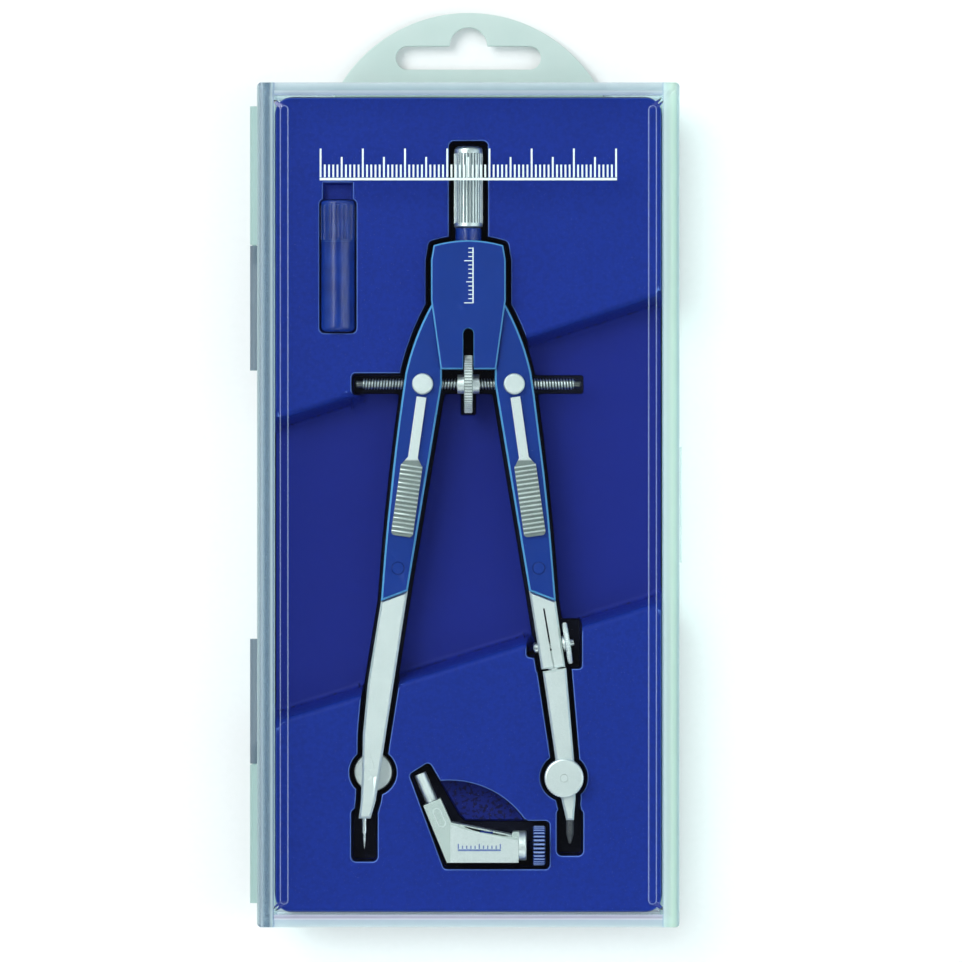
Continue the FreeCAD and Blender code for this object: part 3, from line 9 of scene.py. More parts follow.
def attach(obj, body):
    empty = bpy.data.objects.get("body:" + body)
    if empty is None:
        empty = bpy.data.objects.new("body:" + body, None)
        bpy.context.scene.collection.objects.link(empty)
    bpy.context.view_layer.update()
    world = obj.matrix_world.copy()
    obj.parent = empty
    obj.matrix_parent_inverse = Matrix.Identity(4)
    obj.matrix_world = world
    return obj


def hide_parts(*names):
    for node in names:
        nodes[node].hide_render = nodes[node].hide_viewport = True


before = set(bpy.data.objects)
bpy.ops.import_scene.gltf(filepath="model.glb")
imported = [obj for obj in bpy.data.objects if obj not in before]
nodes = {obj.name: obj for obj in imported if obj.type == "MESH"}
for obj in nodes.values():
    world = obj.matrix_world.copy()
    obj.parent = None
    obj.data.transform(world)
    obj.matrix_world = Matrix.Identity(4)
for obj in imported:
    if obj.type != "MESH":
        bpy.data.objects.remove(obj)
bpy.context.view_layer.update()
mm = 0.001
print("frame loaded:", len(nodes), "nodes")

# level axes of the turned pieces: place across and height above the table, in mm
spindleAxis, knobAxis, handleAxis = (28.75, 12.8), (-81.3, 12.0), (0, 12.8)
grainRange = (0.3, 0.7)  # most of a noise pattern lies between these


def linear(hexColour):
    values = []
    for i in (1, 3, 5):
        c = int(hexColour[i:i + 2], 16) / 255
        values.append(c / 12.92 if c <= 0.04045 else ((c + 0.055) / 1.055) ** 2.4)
    return (*values, 1)


def addNode(tree, kind, *inputs, output=0, **settings):
    # One node. Inputs come in order or as a dictionary, each a value or another node's output.
    node = tree.nodes.new("ShaderNode" + kind)
    for key, setting in settings.items():
        setattr(node, key, setting)
    given = inputs[0] if inputs and isinstance(inputs[0], dict) else dict(enumerate(inputs))
    for key, source in given.items():
        if isinstance(source, bpy.types.NodeSocket):
            tree.links.new(source, node.inputs[key])
        else:
            node.inputs[key].default_value = source
    return node.outputs[output] if node.outputs else None


def newMaterial(name):
    material = bpy.data.materials.new(name)
    material.use_nodes = True
    tree = material.node_tree
    tree.nodes.clear()
    return material, tree, addNode(tree, "TexCoord", output="Object")


def layered(tree, base, *layers):
    # Colours laid over a base in turn, each by its own mask from 0 to 1.
    for mask, colour in layers:
        under, over = (linear(c) if isinstance(c, str) else c for c in (base, colour))
        base = addNode(tree, "Mix", {0: mask, 6: under, 7: over}, output=2, data_type="RGBA")
    return base


def grainHeight(tree, where, size, detail=2, roughness=0.5, stretch=(1, 1, 1)):
    # Noise whose lumps are about `size` mm across.
    mapped = addNode(tree, "Mapping", {"Vector": where, "Scale": stretch})
    return addNode(tree, "TexNoise", {
        "Vector": mapped, "Scale": 1 / (size * mm), "Detail": detail, "Roughness": roughness})


def edgeMask(tree, radius, start, full):
    # 1 on a convex or concave edge, 0 on a flat: how far a rounded normal turns from the real one.
    rounded = addNode(tree, "Bevel", {"Radius": radius * mm}, samples=6)
    plain = addNode(tree, "NewGeometry", output="Normal")
    cosine = addNode(tree, "VectorMath", rounded, plain, output="Value", operation="DOT_PRODUCT")
    turn = addNode(tree, "Math", 1.0, cosine, operation="SUBTRACT")
    return addNode(tree, "MapRange", turn, start, full, 0, 1)


def slope(tree):
    # 1 where a surface faces straight up, 0 on an upright wall.
    return addNode(tree, "SeparateXYZ", addNode(tree, "NewGeometry", output="Normal"), output="Z")


def fromAxis(tree, where, axis, across="Y"):
    # Distance from a level axis, which lies square to the coordinate `across`.
    squares = []
    for key, place in zip((across, "Z"), axis):
        part = addNode(tree, "SeparateXYZ", where, output=key)
        gap = addNode(tree, "Math", part, place * mm, operation="SUBTRACT")
        squares.append(addNode(tree, "Math", gap, gap, operation="MULTIPLY"))
    return addNode(tree, "Math", addNode(tree, "Math", *squares, operation="ADD"), operation="SQRT")


def bands(tree, position, stops):
    # Colours at set places in mm along a coordinate in metres, blended between them.
    low, high = stops[0][0], stops[-1][0]
    ramp = addNode(tree, "ValToRGB", addNode(tree, "MapRange", position, low * mm, high * mm, 0, 1))
    elements = ramp.node.color_ramp.elements
    for place, _ in stops[1:-1]:
        elements.new((place - low) / (high - low))
    for element, (_, colour) in zip(elements, stops):
        element.color = linear(colour)
    return ramp


def finishSurface(material, base, grain, bump, roughness, shaderValues):
    # The end of most materials: `bump` is (strength, depth in mm) and the roughness follows the grain.
    tree = material.node_tree
    normal = addNode(tree, "Bump", {"Strength": bump[0], "Distance": bump[1] * mm, "Height": grain})
    rough = addNode(tree, "MapRange", grain, *grainRange, *roughness)
    shader = addNode(tree, "BsdfPrincipled", {
        "Base Color": base, "Roughness": rough, "Normal": normal, **shaderValues})
    addNode(tree, "OutputMaterial", {"Surface": shader})
    return material


# The rim of the case: wall, lip and seam show as bands of milky plastic with painted reflection and
# refraction lines, given in mm from the middle.
clearValues = {
    "tint": "#F7FCFB", "ior": 1.59, "roughness": 0.012, "waviness": 0.02, "waveSize": 24,
    "rimStart": (45.9, 96.9), "rimFrost": 0.42, "hingeFrost": 0.75, "edgeFrost": 0.8,
    "edge": "#C2D6F2", "hinge": "#BAD2CE", "hingeShade": "#8493A0", "knuckle": (31.8, 62.0),
    "left": [(-50, "#C9D8DA"), (-49.3, "#8E9AAB"), (-49, "#C6D3DE"), (-48.5, "#7F96A9"),
             (-47.3, "#6C849A"), (-46.6, "#CFE0E4"), (-45.9, "#5A78B0")],
    "right": [(45.9, "#86A2CC"), (46.4, "#E6F6F8"), (47.2, "#D6EAE6"), (48.2, "#DEF2E6"),
              (49.1, "#CBE2D6"), (49.8, "#AEC2CC"), (50, "#DCEAEA")],
    "top": [(97, "#A6B8DA"), (97.9, "#E2EEF4"), (98.3, "#B2C4CC"), (99.6, "#CDD9E0"), (100, "#EEF5F9")],
    "bottom": [(-100, "#EEF6F6"), (-99.5, "#CBD7E2"), (-98.3, "#CAD3E0"), (-98.1, "#F2F0FC"),
               (-97.7, "#C0B8CC"), (-97, "#E6E8FA"), (-96.7, "#4A5A94")],
}


def clearPolystyrene(name, values):
    # Injection-moulded crystal polystyrene: hard, glossy, with a faint green-blue in its thick walls.
    material, tree, where = newMaterial(name)
    wave = grainHeight(tree, where, values["waveSize"], 1)
    bump = addNode(tree, "Bump", {"Strength": values["waviness"], "Distance": 0.2 * mm, "Height": wave})
    scuffs = grainHeight(tree, where, 0.6, 3, 0.6, (1, 0.06, 1))
    gloss = values["roughness"]
    rough = addNode(tree, "MapRange", scuffs, 0.62, 0.8, gloss, gloss + 0.05)
    glass = addNode(tree, "BsdfPrincipled", {
        "Base Color": linear(values["tint"]), "IOR": values["ior"], "Transmission Weight": 1.0,
        "Roughness": rough, "Normal": bump})
    # the walls, the hinge and every edge gather light and look milky from above
    x, y = (addNode(tree, "SeparateXYZ", where, output=key) for key in "XY")
    across, along = (addNode(tree, "Math", place, operation="ABSOLUTE") for place in (x, y))
    beside, beyond = (addNode(tree, "MapRange", place, start * mm, (start + 0.2) * mm, 0, 1)
                      for place, start in zip((across, along), values["rimStart"]))
    rim = addNode(tree, "Math", beside, beyond, operation="MAXIMUM")
    outside = addNode(tree, "MapRange", x, -50.05 * mm, -50.2 * mm, 0, 1)
    masks = ((rim, "rimFrost"), (outside, "hingeFrost"), (edgeMask(tree, 0.35, 0.015, 0.2), "edgeFrost"))
    frost, *others = (addNode(tree, "Math", mask, values[key], operation="MULTIPLY") for mask, key in masks)
    for other in others:
        frost = addNode(tree, "Math", frost, other, operation="MAXIMUM")
    # its colour: bands of painted reflection along each wall, one plain painted highlight on the edges, and
    # a hinge with painted shade between its knuckles
    near, far = values["knuckle"]
    inner = addNode(tree, "Math", addNode(tree, "MapRange", along, (far - 0.4) * mm, far * mm, 1, 0),
                    addNode(tree, "MapRange", along, near * mm, (near + 0.4) * mm, 0, 1),
                    operation="MULTIPLY")
    walls = []
    for place, low, high in ((y, "bottom", "top"), (x, "left", "right")):
        half = addNode(tree, "MapRange", place, -1 * mm, 1 * mm, 0, 1)
        walls.append(layered(tree, bands(tree, place, values[low]),
                             (half, bands(tree, place, values[high]))))
    wallReflectionBands = layered(tree, walls[0], (beside, walls[1]))
    hingeColour = layered(tree, values["hinge"], (inner, values["hingeShade"]))
    milkColour = layered(tree, values["edge"], (rim, wallReflectionBands), (outside, hingeColour))
    matt = addNode(tree, "BsdfDiffuse", {"Color": milkColour})
    glow = addNode(tree, "BsdfTranslucent", {"Color": milkColour})
    milk = addNode(tree, "MixShader", 0.4, matt, glow)
    body = addNode(tree, "MixShader", frost, glass, milk)
    # lamps shine through to what lies in the case
    shadow = addNode(tree, "LightPath", output="Is Shadow Ray")
    through = addNode(tree, "BsdfTransparent", {"Color": linear("#F4FBFA")})
    addNode(tree, "OutputMaterial", {"Surface": addNode(tree, "MixShader", shadow, body, through)})
    return material


tabValues = {"colour": "#D3E8E2", "cloud": "#E2F1EC", "roughness": 0.38, "clearness": 0.3, "grain": 0.5}


def frostedTab(name, values):
    # Calendered polypropylene sheet: milky pale green, satin from its matt rollers.
    material, tree, where = newMaterial(name)
    cloud = addNode(tree, "MapRange", grainHeight(tree, where, 9, 2), 0.35, 0.65, 0, 0.25)
    colour = layered(tree, values["colour"], (cloud, values["cloud"]))
    rough = values["roughness"]
    return finishSurface(material, colour, grainHeight(tree, where, values["grain"], 2), (0.15, 0.03),
                         (rough - 0.05, rough + 0.08),
                         {"IOR": 1.49, "Transmission Weight": values["clearness"]})


# `top` is the height of the insert's face, `moat` and `thumb` those of two of its floors, in mm
# the sunk and gap colours are painted shade
insertValues = {
    # the pale colour is a painted highlight
    "colour": "#132B87", "cloud": "#152F90", "deep": "#0C1450", "rimHighlight": "#6F8FE0", "sunkShade": "#162079",
    "speck": "#100E2C", "gap": "#04050C", "top": 13.6, "moat": 5.6, "thumb": 6.5, "roughness": 0.5,
    "grain": 0.55,
}


def thermoformedSheet(name, values):
    # Vacuum-formed polystyrene sheet with a fine matt grain, a painted highlight along each tight edge and
    # painted shade in its hollows.
    material, tree, where = newMaterial(name)
    top, moat, thumb = (values[key] for key in ("top", "moat", "thumb"))
    level, facing = addNode(tree, "SeparateXYZ", where, output="Z"), slope(tree)

    def between(start, end, before, after):
        # A mask that changes between two heights in mm.
        return addNode(tree, "MapRange", level, start * mm, end * mm, before, after)

    grain = grainHeight(tree, where, values["grain"], 3, 0.6)
    speck = grainHeight(tree, where, values["grain"] * 1.6, 2, 0.7)
    lumps = addNode(tree, "MapRange", grainHeight(tree, where, 0.9, 3, 0.7), 0.5, 0.6, 0, 0.85)
    cloud = addNode(tree, "MapRange", grainHeight(tree, where, 34, 2), *grainRange, 0, 0.3)
    base = layered(tree, values["colour"], (cloud, values["cloud"]),
                   (addNode(tree, "MapRange", speck, 0.42, 0.62, 0, 0.22), values["deep"]))
    # painted shade: sunk floors are darker, steep walls low down and the moat round each piece almost
    # black; the thumb notch speckled
    steepShade = addNode(tree, "Math", addNode(tree, "MapRange", facing, 0.07, 0.14, 1, 0),
                    between(top - 0.5, top - 2.2, 0, 0.95), operation="MULTIPLY")
    gap = addNode(tree, "Math", steepShade, between(moat + 0.15, moat + 0.3, 0.95, 0), operation="MAXIMUM")
    notch = addNode(tree, "Math", between(thumb - 0.2, thumb - 0.1, 0, 1),
                    between(thumb + 0.1, thumb + 0.6, 1, 0), operation="MULTIPLY")
    lumps = addNode(tree, "Math", notch, lumps, operation="MULTIPLY")
    # painted highlight: tight edges catch light in a thin line; the wide roll into the trough does not
    turn = addNode(tree, "Math", between(top - 0.9, top, 0, 1), facing, operation="SUBTRACT")
    rim = addNode(tree, "Math", addNode(tree, "MapRange", turn, 0.03, 0.15, 0, 1),
                  between(top - 0.42, top - 0.28, 0, 0.85), operation="MULTIPLY")
    base = layered(tree, base, (between(top - 0.8, top - 5, 0, 0.8), values["sunkShade"]),
                   (gap, values["gap"]), (lumps, values["speck"]), (rim, values["rimHighlight"]))
    rough = values["roughness"]
    return finishSurface(material, base, grain, (0.35, 0.05), (rough - 0.06, rough + 0.1),
                         {"IOR": 1.5, "Specular IOR Level": 0.12})


enamelValues = {"colour": "#0C2F7F", "cloud": "#10358A", "edge": "#5FA8DA", "roughness": 0.34,
                "orangePeel": 0.7}


def stovedEnamel(name, values):
    # Satin stoved enamel on metal: an even royal blue, with a painted highlight on its tilted edge faces.
    material, tree, where = newMaterial(name)
    cloud = addNode(tree, "MapRange", grainHeight(tree, where, 12, 2), *grainRange, 0, 0.35)
    facing = slope(tree)
    # painted highlight: faces that tilt, such as chamfers, take the pale edge colour
    bevelHighlight = addNode(tree, "Math", addNode(tree, "MapRange", facing, 0.97, 0.85, 0, 0.7),
                       addNode(tree, "MapRange", facing, 0.15, 0.35, 0, 1), operation="MULTIPLY")
    base = layered(tree, values["colour"], (cloud, values["cloud"]), (bevelHighlight, values["edge"]))
    rough = values["roughness"]
    return finishSurface(
        material, base, grainHeight(tree, where, values["orangePeel"], 2), (0.12, 0.02),
        (rough - 0.04, rough + 0.06),
        {"IOR": 1.5, "Specular IOR Level": 0.22, "Coat Weight": 0.06, "Coat Roughness": 0.2})


nickelValues = {"colour": "#EEF3F2", "shade": "#DCE4E2", "roughness": 0.42, "grain": 0.35,
                "stretch": (1, 1, 1), "strength": 0.2, "edgeGlint": "#F6FBFA"}


def platedMetal(name, changes=(), hollowShade=None):
    # Metal whose fine grain runs along the axis that `stretch` shortens; `hollowShade` is (mask, colour) of
    # painted shade laid over it.
    values = {**nickelValues, **dict(changes)}
    material, tree, where = newMaterial(name)
    fine = grainHeight(tree, where, values["grain"], 3, 0.6, values["stretch"])
    cloud = addNode(tree, "MapRange", grainHeight(tree, where, 6, 2), 0.35, 0.7, 0, 0.3)
    # paler edges are a painted highlight
    base = layered(tree, values["shade"],
                   (addNode(tree, "MapRange", fine, *grainRange, 0, 1), values["colour"]),
                   (cloud, values["colour"]), (edgeMask(tree, 0.15, 0.03, 0.25), values["edgeGlint"]))
    if hollowShade:
        maskOf, shadeColour = hollowShade
        base = layered(tree, base, (maskOf(tree, where), shadeColour))
    rough = values["roughness"]
    return finishSurface(material, base, fine, (values["strength"], 0.02), (rough - 0.05, rough + 0.08),
                         {"Metallic": 1.0})


# `hollow` and `crest` are the radii in mm at which the foot and the top of the knob's ribs begin, with
# painted shade at the foot and a painted highlight on the top
mouldedValues = {"colour": "#0E3084", "dark": "#0A246C", "edge": "#3D6FC4", "foot": "#050A22",
                 "light": "#8FA3DC", "hollow": (4.2, 4.45), "crest": (4.5, 4.66), "roughness": 0.2,
                 "grain": 0.8}


def mouldedPlastic(name, values, ribAxis=None):
    # Moulded ABS, polished in the tool: a clean blue with sharp, slightly soft-edged highlights.
    material, tree, where = newMaterial(name)
    cloud = addNode(tree, "MapRange", grainHeight(tree, where, 5, 1), *grainRange, 0, 1)
    # painted highlight: edges take the paler edge colour
    base = layered(tree, values["dark"], (cloud, values["colour"]),
                   (edgeMask(tree, 0.15, 0.05, 0.3), values["edge"]))
    if ribAxis:
        radius = fromAxis(tree, where, ribAxis)
        hollow, crest = ([limit * mm for limit in values[key]] for key in ("hollow", "crest"))
        base = layered(tree, base,
                       (addNode(tree, "MapRange", radius, *hollow, 0.9, 0), values["foot"]),
                       (addNode(tree, "MapRange", radius, *crest, 0, 0.75), values["light"]))
    rough = values["roughness"]
    return finishSurface(material, base, grainHeight(tree, where, values["grain"], 2), (0.08, 0.02),
                         (rough - 0.03, rough + 0.06), {"IOR": 1.53})


def groundLead(name):
    # Baked graphite and clay: dark grey with a dull metallic shine where it is ground.
    material, tree, where = newMaterial(name)
    grain = grainHeight(tree, where, 0.25, 3, 0.6)
    base = layered(tree, "#2C2C30", (addNode(tree, "MapRange", grain, *grainRange, 0, 1), "#5A5C60"))
    return finishSurface(material, base, grain, (0.2, 0.02), (0.35, 0.5), {"Metallic": 0.4})


def screenInk(name, colour):
    # Screen-printed ink: flat, matt, with pinholes too small to count.
    material, tree, where = newMaterial(name)
    grain = grainHeight(tree, where, 0.3, 2)
    thin = addNode(tree, "MapRange", grain, 0.35, 0.65, 0, 0.3)
    return finishSurface(material, layered(tree, colour, (thin, "#C6D4D6")), grain, (0.1, 0.01),
                         (0.5, 0.65), {"IOR": 1.5})


def threadRootShade(tree, where):
    # Painted shade: the bottom of the thread is dark.
    return addNode(tree, "MapRange", fromAxis(tree, where, spindleAxis), 1.0 * mm, 1.18 * mm, 0.85, 0)


def gripValleyShade(tree, where):
    # Painted shade: dull grey between the ridges of a lever's grip.
    y, z = (addNode(tree, "SeparateXYZ", where, output=key) for key in "YZ")
    low = addNode(tree, "MapRange", z, 16.82 * mm, 17.05 * mm, 0.8, 0)
    grip = addNode(tree, "MapRange", y, 10.4 * mm, 10.8 * mm, 1, 0)
    upward = addNode(tree, "MapRange", slope(tree), 0.2, 0.5, 0, 1)
    return addNode(tree, "Math", addNode(tree, "Math", low, grip, operation="MULTIPLY"), upward,
                   operation="MULTIPLY")


def fluteShade(tree, where):
    # Painted shade: the bottoms of the handle's flutes are darker.
    radius = fromAxis(tree, where, handleAxis, "X")
    return addNode(tree, "MapRange", radius, 3.18 * mm, 3.34 * mm, 0.85, 0)


def knurlShade(tree, where):
    # Painted shade at the foot of the wheel's knurling too, but not on its two faces.
    radius = fromAxis(tree, where, spindleAxis)
    return addNode(tree, "Math", addNode(tree, "MapRange", radius, 6.68 * mm, 6.84 * mm, 0.8, 0),
                   addNode(tree, "MapRange", radius, 6.4 * mm, 6.55 * mm, 0, 1), operation="MULTIPLY")


clear = clearPolystyrene("crystalPolystyrene", clearValues)
tabSheet = frostedTab("frostedPolypropylene", tabValues)
insertSheet = thermoformedSheet("thermoformedPolystyrene", insertValues)
enamel = stovedEnamel("stovedBlueEnamel", enamelValues)
# on the rivets the edge colour is darker: painted shade on their tilted faces
rivetEnamel = stovedEnamel("stovedRivetEnamel", {**enamelValues, "edge": "#0A2466"})
nickel = platedMetal("satinNickelPlate")
# a darker copy of the satin nickel plate for the adapter body: painted shade
shadedNickel = platedMetal("shadedNickelPlate", {
    "colour": "#D3DDD9", "shade": "#BFCBC6", "roughness": 0.46, "grain": 0.4})
ridgedNickel = platedMetal("ridgedNickelPlate", {}, (gripValleyShade, "#66736F"))
fluted = platedMetal("flutedNickelPlate", {
    "colour": "#E4EBEA", "shade": "#C6D1D0", "roughness": 0.36, "grain": 0.3, "stretch": (1, 0.05, 1),
    "strength": 0.15}, (fluteShade, "#59656A"))
knurled = platedMetal("knurledNickelPlate", {"roughness": 0.4}, (knurlShade, "#5A6662"))
turned = {"grain": 0.2, "stretch": (0.1, 1, 1)}  # fine grooves run round a turned piece
steel = platedMetal("brightTurnedSteel", {
    "colour": "#E4E9E8", "shade": "#B4BEBF", "roughness": 0.25, "strength": 0.3, **turned})
threadSteel = platedMetal("rolledThreadSteel", {
    "colour": "#F0F4F3", "shade": "#CCD4D4", "roughness": 0.3, **turned}, (threadRootShade, "#2C3236"))
plastic = mouldedPlastic("polishedBlueAbs", mouldedValues)
ribbedPlastic = mouldedPlastic("ribbedBlueAbs", mouldedValues, knobAxis)
lead = groundLead("groundGraphite")
whiteInk = screenInk("whiteScreenInk", "#EEF4F2")
blueInk = screenInk("blueScreenInk", "#2B4C9C")
print("materials made:", len(bpy.data.materials))


def addPiece(name, mesh, material, body, replaced=(), smoothAngle=35):
    piece = bpy.data.objects.new(name, mesh)
    bpy.context.scene.collection.objects.link(piece)
    mesh.materials.clear()
    mesh.materials.append(material)
    mesh.shade_smooth()
    mesh.set_sharp_from_angle(angle=math.radians(smoothAngle))
    # large flats keep their own normal beside rounded edges
    weighted = piece.modifiers.new("flatNormals", "WEIGHTED_NORMAL")
    weighted.keep_sharp = True
    weighted.weight = 90
    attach(piece, body)
    if replaced:
        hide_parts(*replaced)
    return piece


def bmeshOf(node):
    mesh = bmesh.new()
    mesh.from_mesh(nodes[node].data)
    bmesh.ops.remove_doubles(mesh, verts=mesh.verts, dist=0.0005 * mm)
    return mesh


def finished(mesh, name):
    bmesh.ops.recalc_face_normals(mesh, faces=mesh.faces)
    data = bpy.data.meshes.new(name)
    mesh.to_mesh(data)
    mesh.free()
    return data


def roundEdges(mesh, width, sharpAngle=30):
    edges = [e for e in mesh.edges
             if len(e.link_faces) == 2 and e.calc_face_angle(0) > math.radians(sharpAngle)]
    bmesh.ops.bevel(mesh, geom=edges, offset=width * mm, segments=2, profile=0.5, affect="EDGES",
                    clamp_overlap=True)
    bmesh.ops.remove_doubles(mesh, verts=mesh.verts, dist=0.002 * mm)
    bmesh.ops.triangulate(mesh, faces=[f for f in mesh.faces if len(f.verts) > 4])


ridgeValues = {"level": 17.28, "within": 0.03, "shortest": 0.2, "keep": 0.3}


def taperRidges(mesh):
    # Narrows the top of each grip ridge, so that its flanks slope.
    s = ridgeValues
    for face in mesh.faces:
        middle = face.calc_center_median()
        if face.normal.z < 0.99 or abs(middle.z - s["level"] * mm) > s["within"] * mm:
            continue
        sides = [e for e in face.edges if e.calc_length() > s["shortest"] * mm]
        short = min(sides, key=lambda e: e.calc_length())
        along = (short.verts[0].co - short.verts[1].co).normalized()
        for v in face.verts:
            v.co -= along * (v.co - middle).dot(along) * (1 - s["keep"])


def softened(node, width, ridged=False):
    # A copy of a CAD node with flat faces joined and sharp edges rounded.
    mesh = bmeshOf(node)
    bmesh.ops.dissolve_limit(mesh, angle_limit=math.radians(1), verts=mesh.verts, edges=mesh.edges)
    if ridged:
        taperRidges(mesh)
    roundEdges(mesh, width)
    return finished(mesh, node + "Mesh")


def prism(mesh, outline, low, high):
    # An upright block over an anticlockwise outline in mm.
    rings = [[mesh.verts.new((x * mm, y * mm, z * mm)) for x, y in outline] for z in (low, high)]
    mesh.faces.new(list(reversed(rings[0])))
    mesh.faces.new(rings[1])
    for i in range(len(outline)):
        mesh.faces.new((rings[0][i - 1], rings[0][i], rings[1][i], rings[1][i - 1]))


def lathe(mesh, stations, axis, sides, radiusAt=None):
    # Rings of points along X, each station (x, radius); `radiusAt` may vary the radius round a ring.
    rings = []
    for x, radius in stations:
        ring = []
        for k in range(sides):
            angle = 2 * math.pi * k / sides
            r = radiusAt(x, radius, k) if radiusAt else radius
            ring.append(mesh.verts.new((x * mm, (axis[0] + r * math.cos(angle)) * mm,
                                        (axis[1] + r * math.sin(angle)) * mm)))
        rings.append(ring)
    for one, two in zip(rings, rings[1:]):
        for k in range(sides):
            mesh.faces.new((one[k], one[k - 1], two[k - 1], two[k]))
    mesh.faces.new(rings[0])
    mesh.faces.new(list(reversed(rings[-1])))


# base and lid with their moulded edges rounded, and the hang tab
caseValues = {"edge": 0.22, "tabEdge": 0.2}
for half, body in (("case_base", "case"), ("case_lid", "lid")):
    addPiece(half + "_shell", softened(half, caseValues["edge"]), clear, body, [half])
addPiece("tab_sheet", softened("hang_tab", caseValues["tabEdge"]), tabSheet, "tab",
         ["hang_tab"])
print("case made")

# Each wall has a rounded edge, a draft and a fillet at its foot, all in mm. The trough's two slanting
# walls, given as (height at the middle, rise per mm), roll over more widely.
insertShape = {
    "edge": 0.45, "draft": 0.3, "fillet": 0.45,
    "troughEdge": 1.5, "troughDraft": 1.3, "troughFillet": 1.6,
    "upper": (34.85, 0.327), "lower": (-37.25, 0.31),
    "topHalf": (46.0, 97.0), "footHalf": (46.5, 97.9), "corner": 3.6, "foot": 1.95,
    "rim": 0.7, "sheet": 0.6, "step": 0.8, "troughStep": 2.0, "rimStep": 2.0, "grid": 3.0,
    "tabGap": (38.2, 3.75),
}


